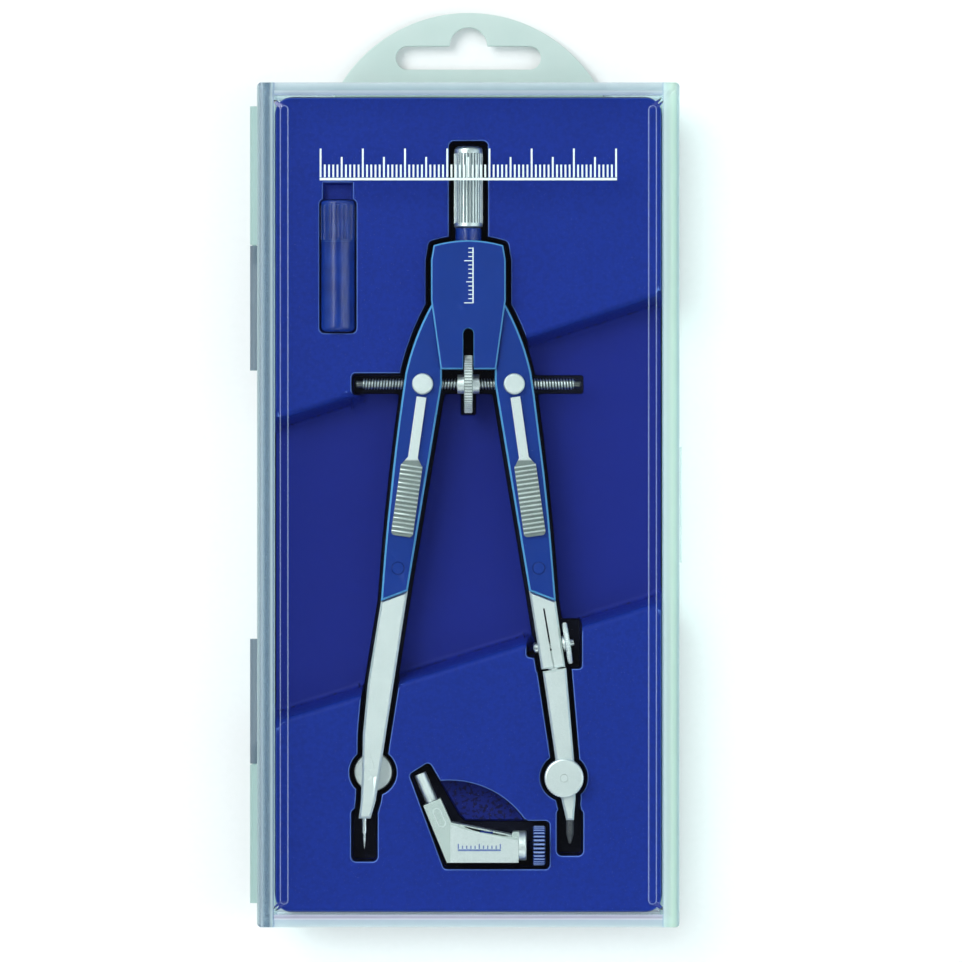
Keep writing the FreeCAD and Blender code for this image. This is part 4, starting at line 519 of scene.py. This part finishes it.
def insertTop():
    # The insert's upper side as heights over a plan, with drafted walls and rounded edges.
    s = insertShape
    cad = bmeshOf("insert_tray")
    cad.transform(nodes["insert_tray"].matrix_world)
    cad.verts.ensure_lookup_table()
    tree = BVHTree.FromBMesh(cad)
    high = max(v.co.z for v in cad.verts) / mm
    levels = {}
    for f in cad.faces:
        if f.normal.z > 0.99:
            level = round(f.calc_center_median().z / mm, 2)
            levels[level] = levels.get(level, 0) + f.calc_area() / mm ** 2
    floors = sorted(level for level, area in levels.items() if level < high - 0.1 and area > 1)
    print("insert floors:", floors)

    def cadHeight(x, y):
        hit = tree.ray_cast(Vector((x * mm, y * mm, 0.05)), Vector((0, 0, -1)))
        return hit[0].z / mm if hit[0] else -1.0

    def halfSizes(level):
        t = (high - level) / (high - s["foot"])
        return [top + (foot - top) * t for top, foot in zip(s["topHalf"], s["footHalf"])]

    def rimDistance(x, y, level):
        # Distance inside the outer wall at a level: positive within.
        halfX, halfY = halfSizes(level)
        dx, dy = abs(x) - halfX + s["corner"], abs(y) - halfY + s["corner"]
        return s["corner"] - math.hypot(max(dx, 0), max(dy, 0)) - min(max(dx, dy), 0)

    def isTrough(a, b):
        return any(all(abs(p[1] - middle - rise * p[0]) < 0.06 for p in (a, b))
                   for middle, rise in (s["upper"], s["lower"]))

    # in mm: how high over a floor its walls are cut, and how the form is probed beside a wall
    sliceHeight, beside, tolerance = 0.03, 0.02, 0.04
    cuts = {}
    for level in floors:
        plane = (level + sliceHeight) * mm
        segments = []
        for f in cad.faces:
            if abs(f.normal.z) > 0.9:
                continue
            points = []
            for e in f.edges:
                za, zb = e.verts[0].co.z - plane, e.verts[1].co.z - plane
                if za * zb < 0:
                    p = e.verts[0].co.lerp(e.verts[1].co, za / (za - zb))
                    points.append((p.x / mm, p.y / mm))
            if len(points) != 2:
                continue
            a, b = points
            outward = Vector((f.normal.x, f.normal.y)).normalized()
            mx, my = (a[0] + b[0]) / 2, (a[1] + b[1]) / 2
            if math.dist(a, b) < 1e-4 or rimDistance(mx, my, level) < 0.25:
                continue
            # the sheet's own upper skin: nothing above the hollow side
            if cadHeight(mx + outward.x * beside, my + outward.y * beside) > level + tolerance:
                continue
            if cadHeight(mx - outward.x * beside, my - outward.y * beside) < level + tolerance:
                continue
            segments.append((a, b, (outward.x, outward.y), isTrough(a, b)))
        cuts[level] = segments

    def ribbon(segments):
        if not segments:
            return None
        verts, faces = [], []
        for a, b, _, _ in segments:
            n = len(verts)
            verts += [(a[0], a[1], -1), (b[0], b[1], -1), (b[0], b[1], 1), (a[0], a[1], 1)]
            faces.append((n, n + 1, n + 2, n + 3))
        return BVHTree.FromPolygons(verts, faces)

    walls = {level: (ribbon([c for c in cut if not c[3]]), ribbon([c for c in cut if c[3]]))
             for level, cut in cuts.items()}
    kinds = ((s["edge"], s["draft"], s["fillet"]),
             (s["troughEdge"], s["troughDraft"], s["troughFillet"]))

    def profile(d, level, kind):
        edge, draft, fillet = kinds[kind]
        depth = high - level
        edge, fillet = min(edge, depth * 0.45), min(fillet, depth * 0.45)
        if d >= edge:
            return high
        if d >= 0:
            return high - edge + math.sqrt(max(edge ** 2 - (edge - d) ** 2, 0))
        if d >= -draft:
            return high - edge + (level + fillet - high + edge) * (-d / draft)
        along = -d - draft
        if along >= fillet:
            return level
        return level + fillet - math.sqrt(max(fillet ** 2 - (fillet - along) ** 2, 0))

    def height(x, y):
        z = high
        here = cadHeight(x, y)
        for level in floors:
            inside = here <= level + 0.02 and rimDistance(x, y, level) > -1.5
            heights = []
            for kind, wall in enumerate(walls[level]):
                if wall is None:
                    continue
                hit = wall.find_nearest(Vector((x, y, 0)))
                if hit[0] is None:
                    continue
                d = math.hypot(hit[0].x - x, hit[0].y - y)
                heights.append(profile(-d if inside else d, level, kind))
            if heights:
                z = min(z, max(heights) if inside else min(heights))
            elif inside:
                z = min(z, level)
        return z

    # points of the plan: rings beside each wall, a sparse grid, and the rim's own ring
    points, edges = [], []

    def addRun(run, closed=False):
        start = len(points)
        points.extend(run)
        edges.extend((start + i, start + i + 1) for i in range(len(run) - 1))
        if closed:
            edges.append((start + len(run) - 1, start))

    def chain(segments):
        # Joins segments end to end; each run is a list of points.
        ends = {}
        key = lambda p: (round(p[0], 3), round(p[1], 3))
        for i, (a, b, _, _) in enumerate(segments):
            ends.setdefault(key(a), []).append(i)
            ends.setdefault(key(b), []).append(i)
        left = set(range(len(segments)))
        runs = []
        while left:
            first = left.pop()
            run = [segments[first][0], segments[first][1]]
            for forward in (True, False):
                while True:
                    tip = run[-1] if forward else run[0]
                    near = [i for i in ends[key(tip)] if i in left]
                    if not near:
                        break
                    i = near[0]
                    left.discard(i)
                    a, b = segments[i][0], segments[i][1]
                    other = b if key(a) == key(tip) else a
                    if forward:
                        run.append(other)
                    else:
                        run.insert(0, other)
            runs.append(run)
        return runs

    def resample(run, step):
        out = [run[0]]
        for a, b in zip(run, run[1:]):
            count = max(1, round(math.dist(a, b) / step))
            out += [(a[0] + (b[0] - a[0]) * k / count, a[1] + (b[1] - a[1]) * k / count)
                    for k in range(1, count + 1)]
        return out

    for level in floors:
        owned = [c for c in cuts[level]
                 if abs(cadHeight((c[0][0] + c[1][0]) / 2 + c[2][0] * 0.05,
                                  (c[0][1] + c[1][1]) / 2 + c[2][1] * 0.05) - level) < 0.05]
        for kind in (0, 1):
            edge, draft, fillet = kinds[kind]
            # how far each ring of points runs from the wall: over its edge, down its draft, out its fillet
            offsets = [edge, edge * 0.62, edge * 0.3, edge * 0.08, 0.01, -draft, -draft - fillet * 0.15,
                       -draft - fillet * 0.45, -draft - fillet]
            if kind:
                offsets += [edge * 0.8, edge * 0.45, -draft * 0.5, -draft - fillet * 0.7]
            hollowWall = walls[level][kind]
            for run in chain([c for c in owned if c[3] == bool(kind)]):
                closed = math.dist(run[0], run[-1]) < 0.005 and len(run) > 3
                run = resample(run, s["troughStep"] if kind else s["step"])
                if closed:
                    run = run[:-1]
                count = len(run)
                for d in offsets:
                    kept = []
                    for i, p in enumerate(run):
                        before = run[i - 1] if (closed or i > 0) else p
                        after = run[(i + 1) % count] if (closed or i < count - 1) else p
                        normals = []
                        for a, b in ((before, p), (p, after)):
                            length = math.dist(a, b)
                            if length > 1e-6:
                                normals.append(((b[1] - a[1]) / length, -(b[0] - a[0]) / length))
                        nx = sum(n[0] for n in normals) / len(normals)
                        ny = sum(n[1] for n in normals) / len(normals)
                        length = max(math.hypot(nx, ny), 0.35)
                        nx, ny = nx / length ** 2, ny / length ** 2
                        # point the normal away from the hollow
                        if cadHeight(p[0] + nx * 0.04, p[1] + ny * 0.04) <= level + 0.02:
                            nx, ny = -nx, -ny
                        q = (p[0] + nx * d, p[1] + ny * d)
                        hit = hollowWall.find_nearest(Vector((q[0], q[1], 0)))
                        far = math.hypot(hit[0].x - q[0], hit[0].y - q[1])
                        good = far > abs(d) * 0.93 - 0.002 and rimDistance(*q, high) > s["rim"] + 0.1
                        kept.append(q if good else None)
                    part = []
                    for q in kept:
                        if q is None:
                            if part:
                                addRun(part)
                            part = []
                        else:
                            part.append(q)
                    if part:
                        addRun(part, closed and len(part) == len(kept))
    print("insert rings:", len(points), "points")

    def rimRing(inset, level):
        # A rounded rectangle inside the outer wall's outline at a level.
        halfX, halfY = (half - inset for half in halfSizes(level))
        radius = s["corner"] - inset
        ring = []
        for cx, cy, start in ((1, 1, 0), (-1, 1, 90), (-1, -1, 180), (1, -1, 270)):
            for k in range(13):
                angle = math.radians(start + 7.5 * k)
                ring.append((cx * (halfX - radius) + radius * math.cos(angle),
                             cy * (halfY - radius) + radius * math.sin(angle)))
        return resample(ring + ring[:1], s["rimStep"])[:-1]

    addRun(rimRing(s["rim"], high), True)
    for i in range(-15, 16):
        for j in range(-32, 33):
            p = (i * s["grid"], j * s["grid"])
            if rimDistance(*p, high) > s["rim"] + 0.4:
                points.append(p)
    result = geometry.delaunay_2d_cdt([Vector(p) for p in points], edges, [], 0, 1e-4)
    flat, triangles = result[0], result[2]
    print("insert plan:", len(flat), "points", len(triangles), "triangles")
    verts = [(p.x, p.y, height(p.x, p.y)) for p in flat]
    cad.free()
    return verts, triangles, high


def makeInsert():
    s = insertShape
    verts, triangles, high = insertTop()
    mesh = bmesh.new()
    top = [mesh.verts.new((x * mm, y * mm, z * mm)) for x, y, z in verts]
    mesh.verts.ensure_lookup_table()
    for t in triangles:
        a, b, c = (top[i] for i in t)
        if (b.co - a.co).xy.cross((c.co - a.co).xy) < 0:
            b, c = c, b
        mesh.faces.new((a, b, c))
    # the outer wall: round over the rim, then down and out to the foot, clear of the tab
    rim = [e for e in mesh.edges if len(e.link_faces) == 1]
    foot, rise = s["foot"], s["rim"]
    slopeX = (s["footHalf"][0] - s["topHalf"][0]) / (high - foot)
    slopeY = (s["footHalf"][1] - s["topHalf"][1]) / (high - foot)
    rings = {}

    def outerPoint(v, k):
        x, y, z = (c / mm for c in v.co)
        cx = max(min(x, s["topHalf"][0] - s["corner"]), -s["topHalf"][0] + s["corner"])
        cy = max(min(y, s["topHalf"][1] - s["corner"]), -s["topHalf"][1] + s["corner"])
        nx, ny = x - cx, y - cy
        length = math.hypot(nx, ny) or 1
        nx, ny = nx / length, ny / length
        if k < 4:
            angle = math.radians(22.5 * (k + 1))
            out, drop = rise * math.sin(angle), rise * (1 - math.cos(angle))
            level = z - drop
        else:
            out = rise
            tabHalf, tabFoot = s["tabGap"]
            low = tabFoot if y > 0 and abs(x) < tabHalf else foot
            level = (z - rise) + (low - z + rise) * (k - 3) / 2
        spread = high - level - rise
        return Vector(((x + nx * out + nx * slopeX * max(spread, 0)) * mm,
                       (y + ny * out + ny * slopeY * max(spread, 0)) * mm, level * mm))

    def ringVert(v, k):
        if (v.index, k) not in rings:
            rings[(v.index, k)] = mesh.verts.new(outerPoint(v, k))
        return rings[(v.index, k)]

    mesh.verts.index_update()
    for e in rim:
        a, b = e.verts
        loop = e.link_loops[0]
        if loop.vert is a:
            a, b = b, a
        lastA, lastB = a, b
        for k in range(6):
            nextA, nextB = ringVert(a, k), ringVert(b, k)
            mesh.faces.new((lastA, lastB, nextB, nextA))
            lastA, lastB = nextA, nextB
    # the underside: the same form one sheet down and in
    upper = list(mesh.faces)
    bmesh.ops.recalc_face_normals(mesh, faces=upper)
    if sum(f.normal.z for f in upper) < 0:
        bmesh.ops.reverse_faces(mesh, faces=upper)
    under = {}
    for v in list(mesh.verts):
        x, y, z = (c / mm for c in v.co)
        past = [abs(place) - half + s["rim"] for place, half in zip((x, y), s["topHalf"])]
        deep = max(*past, 0)
        pull = s["sheet"] if deep > 0.01 else 0
        px, py = (math.copysign(min(abs(place), half) - pull, place) if over > 0 else place
                  for place, half, over in zip((x, y), s["footHalf"], past))
        lower = z - s["sheet"] if deep < s["rim"] * 0.98 else z
        lower = min(lower, high - s["sheet"])
        under[v] = mesh.verts.new((px * mm, py * mm, lower * mm))
    for f in upper:
        mesh.faces.new([under[v] for v in reversed(f.verts)])
    for e in [e for e in mesh.edges if len(e.link_faces) == 1 and all(v in under for v in e.verts)]:
        a, b = e.verts
        if e.link_loops[0].vert is a:
            a, b = b, a
        mesh.faces.new((a, b, under[b], under[a]))
    data = bpy.data.meshes.new("insertMesh")
    mesh.to_mesh(data)
    mesh.free()
    addPiece("insert_form", data, insertSheet, "case", ["insert_tray"], 50)


makeInsert()
print("insert made")


spindleValues = {"length": 50.4, "crest": 1.33, "root": 0.9, "pitch": 0.7, "runOut": 1.0,
                 "endRadius": 0.83, "endLength": 1.7, "tipRadius": 0.45, "chamfer": 0.25,
                 "middle": (2.4, 1.2), "sides": 20, "ringsPerPitch": 8}


def makeSpindle():
    # Opposite threads on the two sides of the wheel, turned down at both ends.
    s = spindleValues
    mesh = bmesh.new()
    half = s["length"] / 2
    end = [(half, s["runOut"]), (half, s["endRadius"]),
           (half + s["endLength"] - s["chamfer"], s["endRadius"]), (half + s["endLength"], s["tipRadius"])]
    count = int(s["length"] / s["pitch"] * s["ringsPerPitch"])
    stations = [(-x, radius) for x, radius in reversed(end)]
    stations += [(-half + s["length"] * i / count, None) for i in range(count + 1)]
    stations += end

    def threadRadius(x, radius, k):
        if radius:
            return radius
        if abs(x) < s["middle"][0]:
            return s["middle"][1]
        hand = 1 if x > 0 else -1
        phase = (x / s["pitch"] - hand * k / s["sides"]) % 1
        r = s["root"] + (s["crest"] - s["root"]) * min(1, 1.15 * (1 - abs(2 * phase - 1)))
        return min(r, s["runOut"] + (half - abs(x)) * 0.8)

    lathe(mesh, stations, spindleAxis, s["sides"], threadRadius)
    addPiece("threaded_spindle", finished(mesh, "spindleMesh"), threadSteel, "wheel",
             ["spindle"], 40)


makeSpindle()

# CAD node: (body, material, slot, rounding of its edges in mm)
compassPieces = {
    "head_cover": ("case", enamel, "blue_enamel", 0.16),
    "head_body": ("case", enamel, "blue_enamel", 0.16),
    "left_upper_leg": ("left_leg", enamel, "blue_enamel", 0.08),
    "right_upper_leg": ("right_leg", enamel, "blue_enamel", 0.08),
    "left_leg_rivet": ("left_leg", rivetEnamel, "blue_enamel", 0.06),
    "right_leg_rivet": ("right_leg", rivetEnamel, "blue_enamel", 0.06),
    "left_lower_leg": ("left_leg", nickel, "nickel", 0.08),
    "lead_socket": ("right_leg", nickel, "nickel", 0.05),
    "lead_arm": ("right_leg", nickel, "nickel", 0.08),
    "left_release_lever": ("left_lever", ridgedNickel, "nickel", 0.05),
    "right_release_lever": ("right_lever", ridgedNickel, "nickel", 0.05),
    "left_spindle_nut": ("left_nut", nickel, "nickel", 0.12),
    "right_spindle_nut": ("right_nut", nickel, "nickel", 0.12),
    "adapter_collar": ("case", nickel, "nickel", 0.06),
    "adapter_pin": ("case", nickel, "nickel", 0.06),
    "handle_neck": ("case", plastic, "blue_enamel", 0.10),
}
for node, (body, material, slotName, width) in compassPieces.items():
    addPiece(node + "_form", softened(node, width, "lever" in node), material, body, [node])

# Outlines are points in the plan, heights are above the table.
adapterValues = {
    "back": 8.4, "face": 15.25, "plateFace": 15.6, "floor": 12.4, "edge": 0.1,
    "foot": [(-5.1, -85.2), (11.95, -85.2)], "elbow": [(-6.675, -69.94), (-10.725, -71.66)],
    "top": [(11.95, -79.3), (10.2, -78.6), (-4.1, -75.65)],
    "lens": [(10.1, -78.95), (8.0, -78.85), (5.6, -78.45), (2.7, -77.95), (0.75, -77.4), (-0.7, -76.85),
             (-1.9, -76.15)],
    "farWall": [(-1.9, -76.4), (10.2, -78.95), (10.2, -78.6), (-1.9, -76.1)], "farDrop": 0.5,
    "plate": [(-4.3, -85.15), (11.9, -85.15), (11.9, -79.95), (5.6, -78.75), (0.75, -77.72),
              (-1.7, -77.1), (-4.3, -76.0)],
    "lug": [(10.4, -79.6), (12.1, -79.6), (12.1, -77.9), (10.7, -77.9), (10.4, -78.4)],
    "lugLevels": (9.6, 14.6),
    "oval": (-6.9, -74.5), "ovalSize": (5.0, 2.1), "ovalLean": 23.0, "ovalSides": 28,
    "ovalRings": [(0, 0), (0.06, 0.16), (0.26, 0.16), (0.32, 0)],
    "screw": [(2.7, 0.3), (2.8, 0.5), (3.9, 0.5), (4.0, 0.36), (4.3, 0.36), (4.4, 0.5), (5.8, 0.5),
              (5.9, 0.3)],
    "screwAxis": (-78.0, 14.3), "screwSides": 16,
}


def makeAdapterBody():
    # A channel with a front plate: the plate's top edge dips and lets one see into the groove.
    s = adapterValues
    mesh = bmesh.new()
    right, _, left = s["top"]
    prism(mesh, s["foot"] + s["top"] + s["elbow"], s["back"], s["floor"])
    prism(mesh, s["foot"] + [right] + s["lens"] + [left] + s["elbow"], s["floor"], s["face"])
    prism(mesh, s["farWall"], s["floor"], s["face"] - s["farDrop"])
    prism(mesh, s["lug"], *s["lugLevels"])
    roundEdges(mesh, s["edge"])
    addPiece("adapter_body_form", finished(mesh, "adapterBodyMesh"), shadedNickel, "case",
             ["adapter_body"])
    mesh = bmesh.new()
    prism(mesh, s["plate"], s["face"] + 0.001, s["plateFace"])
    roundEdges(mesh, s["edge"])
    # the oval frame on the leaning block
    length, width = s["ovalSize"]
    lean, sides = math.radians(s["ovalLean"]), s["ovalSides"]
    across = Vector((math.cos(lean), math.sin(lean)))
    along = Vector((-across.y, across.x))
    rings = []
    for inset, level in s["ovalRings"]:
        r, straight, ring = width / 2 - inset, (length - width) / 2, []
        for k in range(sides):
            angle = 2 * math.pi * (k + 0.5) / sides
            x, y = r * math.cos(angle), r * math.sin(angle) + math.copysign(straight, math.sin(angle))
            at = Vector(s["oval"]) + across * x + along * y
            ring.append(mesh.verts.new((at.x * mm, at.y * mm, (s["face"] + level - 0.005) * mm)))
        rings.append(ring)
    for one, two in zip(rings, rings[1:]):
        for k in range(sides):
            mesh.faces.new((one[k - 1], one[k], two[k], two[k - 1]))
    addPiece("adapter_plate", finished(mesh, "adapterPlateMesh"), nickel, "case")
    # the blue screw seen through the groove
    mesh = bmesh.new()
    lathe(mesh, s["screw"], s["screwAxis"], s["screwSides"])
    addPiece("groove_screw", finished(mesh, "grooveScrewMesh"), plastic, "case")


makeAdapterBody()

knobValues = {"foot": 2.95, "collar": 13.9, "start": 15.4, "end": 18.3, "radius": 4.7, "chamfer": 0.3,
              "depth": 0.6, "screw": 1.3, "turns": 5, "pitch": 0.3, "threadDepth": 0.25, "ribs": 30,
              "perRib": 8}


def makeKnob():
    # Ribs stand proud all round the knob; its screw is threaded where it leaves the collar.
    s = knobValues
    mesh = bmesh.new()
    sides = s["ribs"] * s["perRib"]

    def ribRadius(x, radius, k):
        if radius <= s["screw"]:
            return radius
        place = (k + s["perRib"] / 4) % s["perRib"]
        return radius if place < s["perRib"] / 2 else radius - s["depth"]

    stations = [(s["foot"], s["screw"])]
    for i in range(s["turns"]):
        x = s["collar"] + s["pitch"] * i
        stations += [(x, s["screw"]), (x + s["pitch"] / 2, s["screw"] - s["threadDepth"])]
    start, end, radius, chamfer = (s[key] for key in ("start", "end", "radius", "chamfer"))
    stations += [(start, s["screw"]), (start, radius - chamfer), (start + chamfer, radius),
                 (end - chamfer, radius), (end, radius - chamfer)]
    lathe(mesh, stations, knobAxis, sides, ribRadius)
    addPiece("adapter_knob_form", finished(mesh, "knobMesh"), ribbedPlastic, "knob",
             ["adapter_knob"], 25)


makeKnob()

# CAD nodes shown as they are, each in its material
plain = {
    "compass_handle": fluted, "centre_wheel": knurled, "head_screws": nickel, "leg_pivot_pins": nickel,
    "needle": steel, "needle_clamp_screw": nickel, "needle_clamp_nut": nickel, "lead_clamp_nut": nickel,
    "lead_clamp_screw": nickel, "socket_clamp_nut": nickel, "socket_clamp_screw": steel,
    "socket_washer": nickel, "lead": lead, "spare_leads": lead,
    "left_gear_plate": steel, "right_gear_plate": steel,
    "lead_tube": plastic, "lead_tube_cap": plastic,
}
for node, material in plain.items():
    shown = nodes[node]
    for slotIndex in range(len(shown.material_slots)):
        shown.material_slots[slotIndex].material = material
print("compass, tube and adapter made")


# Plain scales in mm: place and direction of the first tick, the ticks' lengths, and their height
# above the table.
scaleValues = {
    "lid_scale": {"start": (-35, 77.6), "along": (1, 0), "ticks": 71, "pitch": 1.0, "one": 3.0,
                  "five": 4.8, "ten": 6.8, "width": 0.42, "thickness": 0.03, "level": 22.16},
    "head_scale": {"start": (0.9, 48.0), "along": (0, 1), "ticks": 14, "pitch": 1.0, "one": 0.9,
                   "five": 1.4, "ten": 1.9, "width": 0.2, "thickness": 0.02, "level": 17.3},
    "adapter_scale": {"start": (-2.4, -81.9), "along": (1, 0), "ticks": 11, "pitch": 1.0, "one": 0.8,
                      "five": 1.2, "ten": 1.2, "width": 0.3, "thickness": 0.02, "level": 15.6},
}


def printScale(name, material, body):
    # Ticks along a line, longer at every fifth and tenth, on a line of their own.
    s = scaleValues[name]
    mesh = bmesh.new()
    along = Vector(s["along"])
    side = Vector((-along.y, along.x))

    def bar(a, b, width):
        u = (b - a).normalized()
        n = Vector((-u.y, u.x)) * width / 2
        corners = [a - n, b - n, b + n, a + n]
        low, high = ([mesh.verts.new((c.x * mm, c.y * mm, z * mm)) for c in corners]
                     for z in (s["level"], s["level"] + s["thickness"]))
        mesh.faces.new(list(reversed(low)))
        mesh.faces.new(high)
        for i in range(4):
            mesh.faces.new((low[i - 1], low[i], high[i], high[i - 1]))

    start, width = Vector(s["start"]), s["width"]
    for i in range(s["ticks"]):
        foot = start + along * s["pitch"] * i
        tall = s["ten"] if i % 10 == 0 else s["five"] if i % 5 == 0 else s["one"]
        bar(foot, foot + side * tall, width)
    base = start - side * width
    length = s["pitch"] * (s["ticks"] - 1)
    bar(base - along * width / 2, base + along * (length + width / 2), width * 1.4)
    addPiece(name, finished(mesh, name + "Mesh"), material, body)


printScale("lid_scale", whiteInk, "lid")
printScale("head_scale", whiteInk, "case")
printScale("adapter_scale", blueInk, "case")
print("printing made")


def makeFloor():
    # Matt white paper: flat and pale, with barely any cloud in it.
    mesh = bpy.data.meshes.new("floorMesh")
    size = 1.6
    mesh.from_pydata([(-size, -size, 0), (size, -size, 0), (size, size, 0), (-size, size, 0)], [],
                     [(0, 1, 2, 3)])
    floor = bpy.data.objects.new("floor", mesh)
    bpy.context.scene.collection.objects.link(floor)
    floor.location.z = -0.0001
    material, tree, where = newMaterial("whitePaper")
    colour = layered(tree, "#F6F8F7", (grainHeight(tree, where, 1.5, 3), "#FBFCFC"))
    paper = addNode(tree, "BsdfPrincipled", {
        "Base Color": colour, "Roughness": 0.85, "Specular IOR Level": 0.1})
    addNode(tree, "OutputMaterial", {"Surface": paper})
    mesh.materials.append(material)


# each lamp: place and size in metres, power in watts, colour
lampValues = {
    "keyLamp": ((-0.62, 0.5, 0.95), (0.8, 0.8), 9.2, "#FFFFFF"),
    "fillLamp": ((0.85, -0.1, 0.8), (0.5, 1.1), 3.6, "#F4FAFF"),
    "endLamp": ((0.0, -0.95, 0.8), (1.0, 0.4), 2.0, "#FFFFFF"),
}
skyValues = {"colour": "#F2F7FA", "strength": 0.62, "dimFrom": 0.966, "dimTo": 0.9945, "overhead": 0.04}


def addLamp(name, position, size, power, colour):
    data = bpy.data.lights.new(name, "AREA")
    data.shape = "RECTANGLE"
    data.size, data.size_y = size
    data.energy = power
    data.color = linear(colour)[:3]
    lamp = bpy.data.objects.new(name, data)
    lamp.location = position
    lamp.rotation_euler = (-Vector(position)).to_track_quat("-Z", "Y").to_euler()
    bpy.context.scene.collection.objects.link(lamp)


def makeLight():
    for name, values in lampValues.items():
        addLamp(name, *values)
    s = skyValues
    world = bpy.data.worlds.new("studioWorld")
    world.use_nodes = True
    tree = world.node_tree
    tree.nodes.clear()
    # bright walls, darker straight overhead so that the lid stays clear
    where = addNode(tree, "TexCoord", output="Generated")
    upward = addNode(tree, "SeparateXYZ", where, output="Z")
    amount = addNode(tree, "MapRange", upward, s["dimFrom"], s["dimTo"], 1, s["overhead"])
    colour = layered(tree, "#000000", (amount, s["colour"]))
    back = addNode(tree, "Background", {"Color": colour, "Strength": s["strength"]})
    addNode(tree, "OutputWorld", {"Surface": back})
    bpy.context.scene.world = world


cameraValues = {"across": 229.4, "centre": (3.0, 5.65), "height": 1500.0, "sensor": 36.0, "aim": 13.0}


def makeCamera():
    c = cameraValues
    data = bpy.data.cameras.new("camera")
    data.sensor_width = c["sensor"]
    data.lens = c["sensor"] * (c["height"] - c["aim"]) / c["across"]
    data.clip_end = 10
    camera = bpy.data.objects.new("camera", data)
    camera.location = (c["centre"][0] * mm, c["centre"][1] * mm, c["height"] * mm)
    bpy.context.scene.collection.objects.link(camera)
    bpy.context.scene.camera = camera


makeFloor()
makeLight()
makeCamera()
bpy.context.scene.view_settings.view_transform = "Standard"
print("stage made")
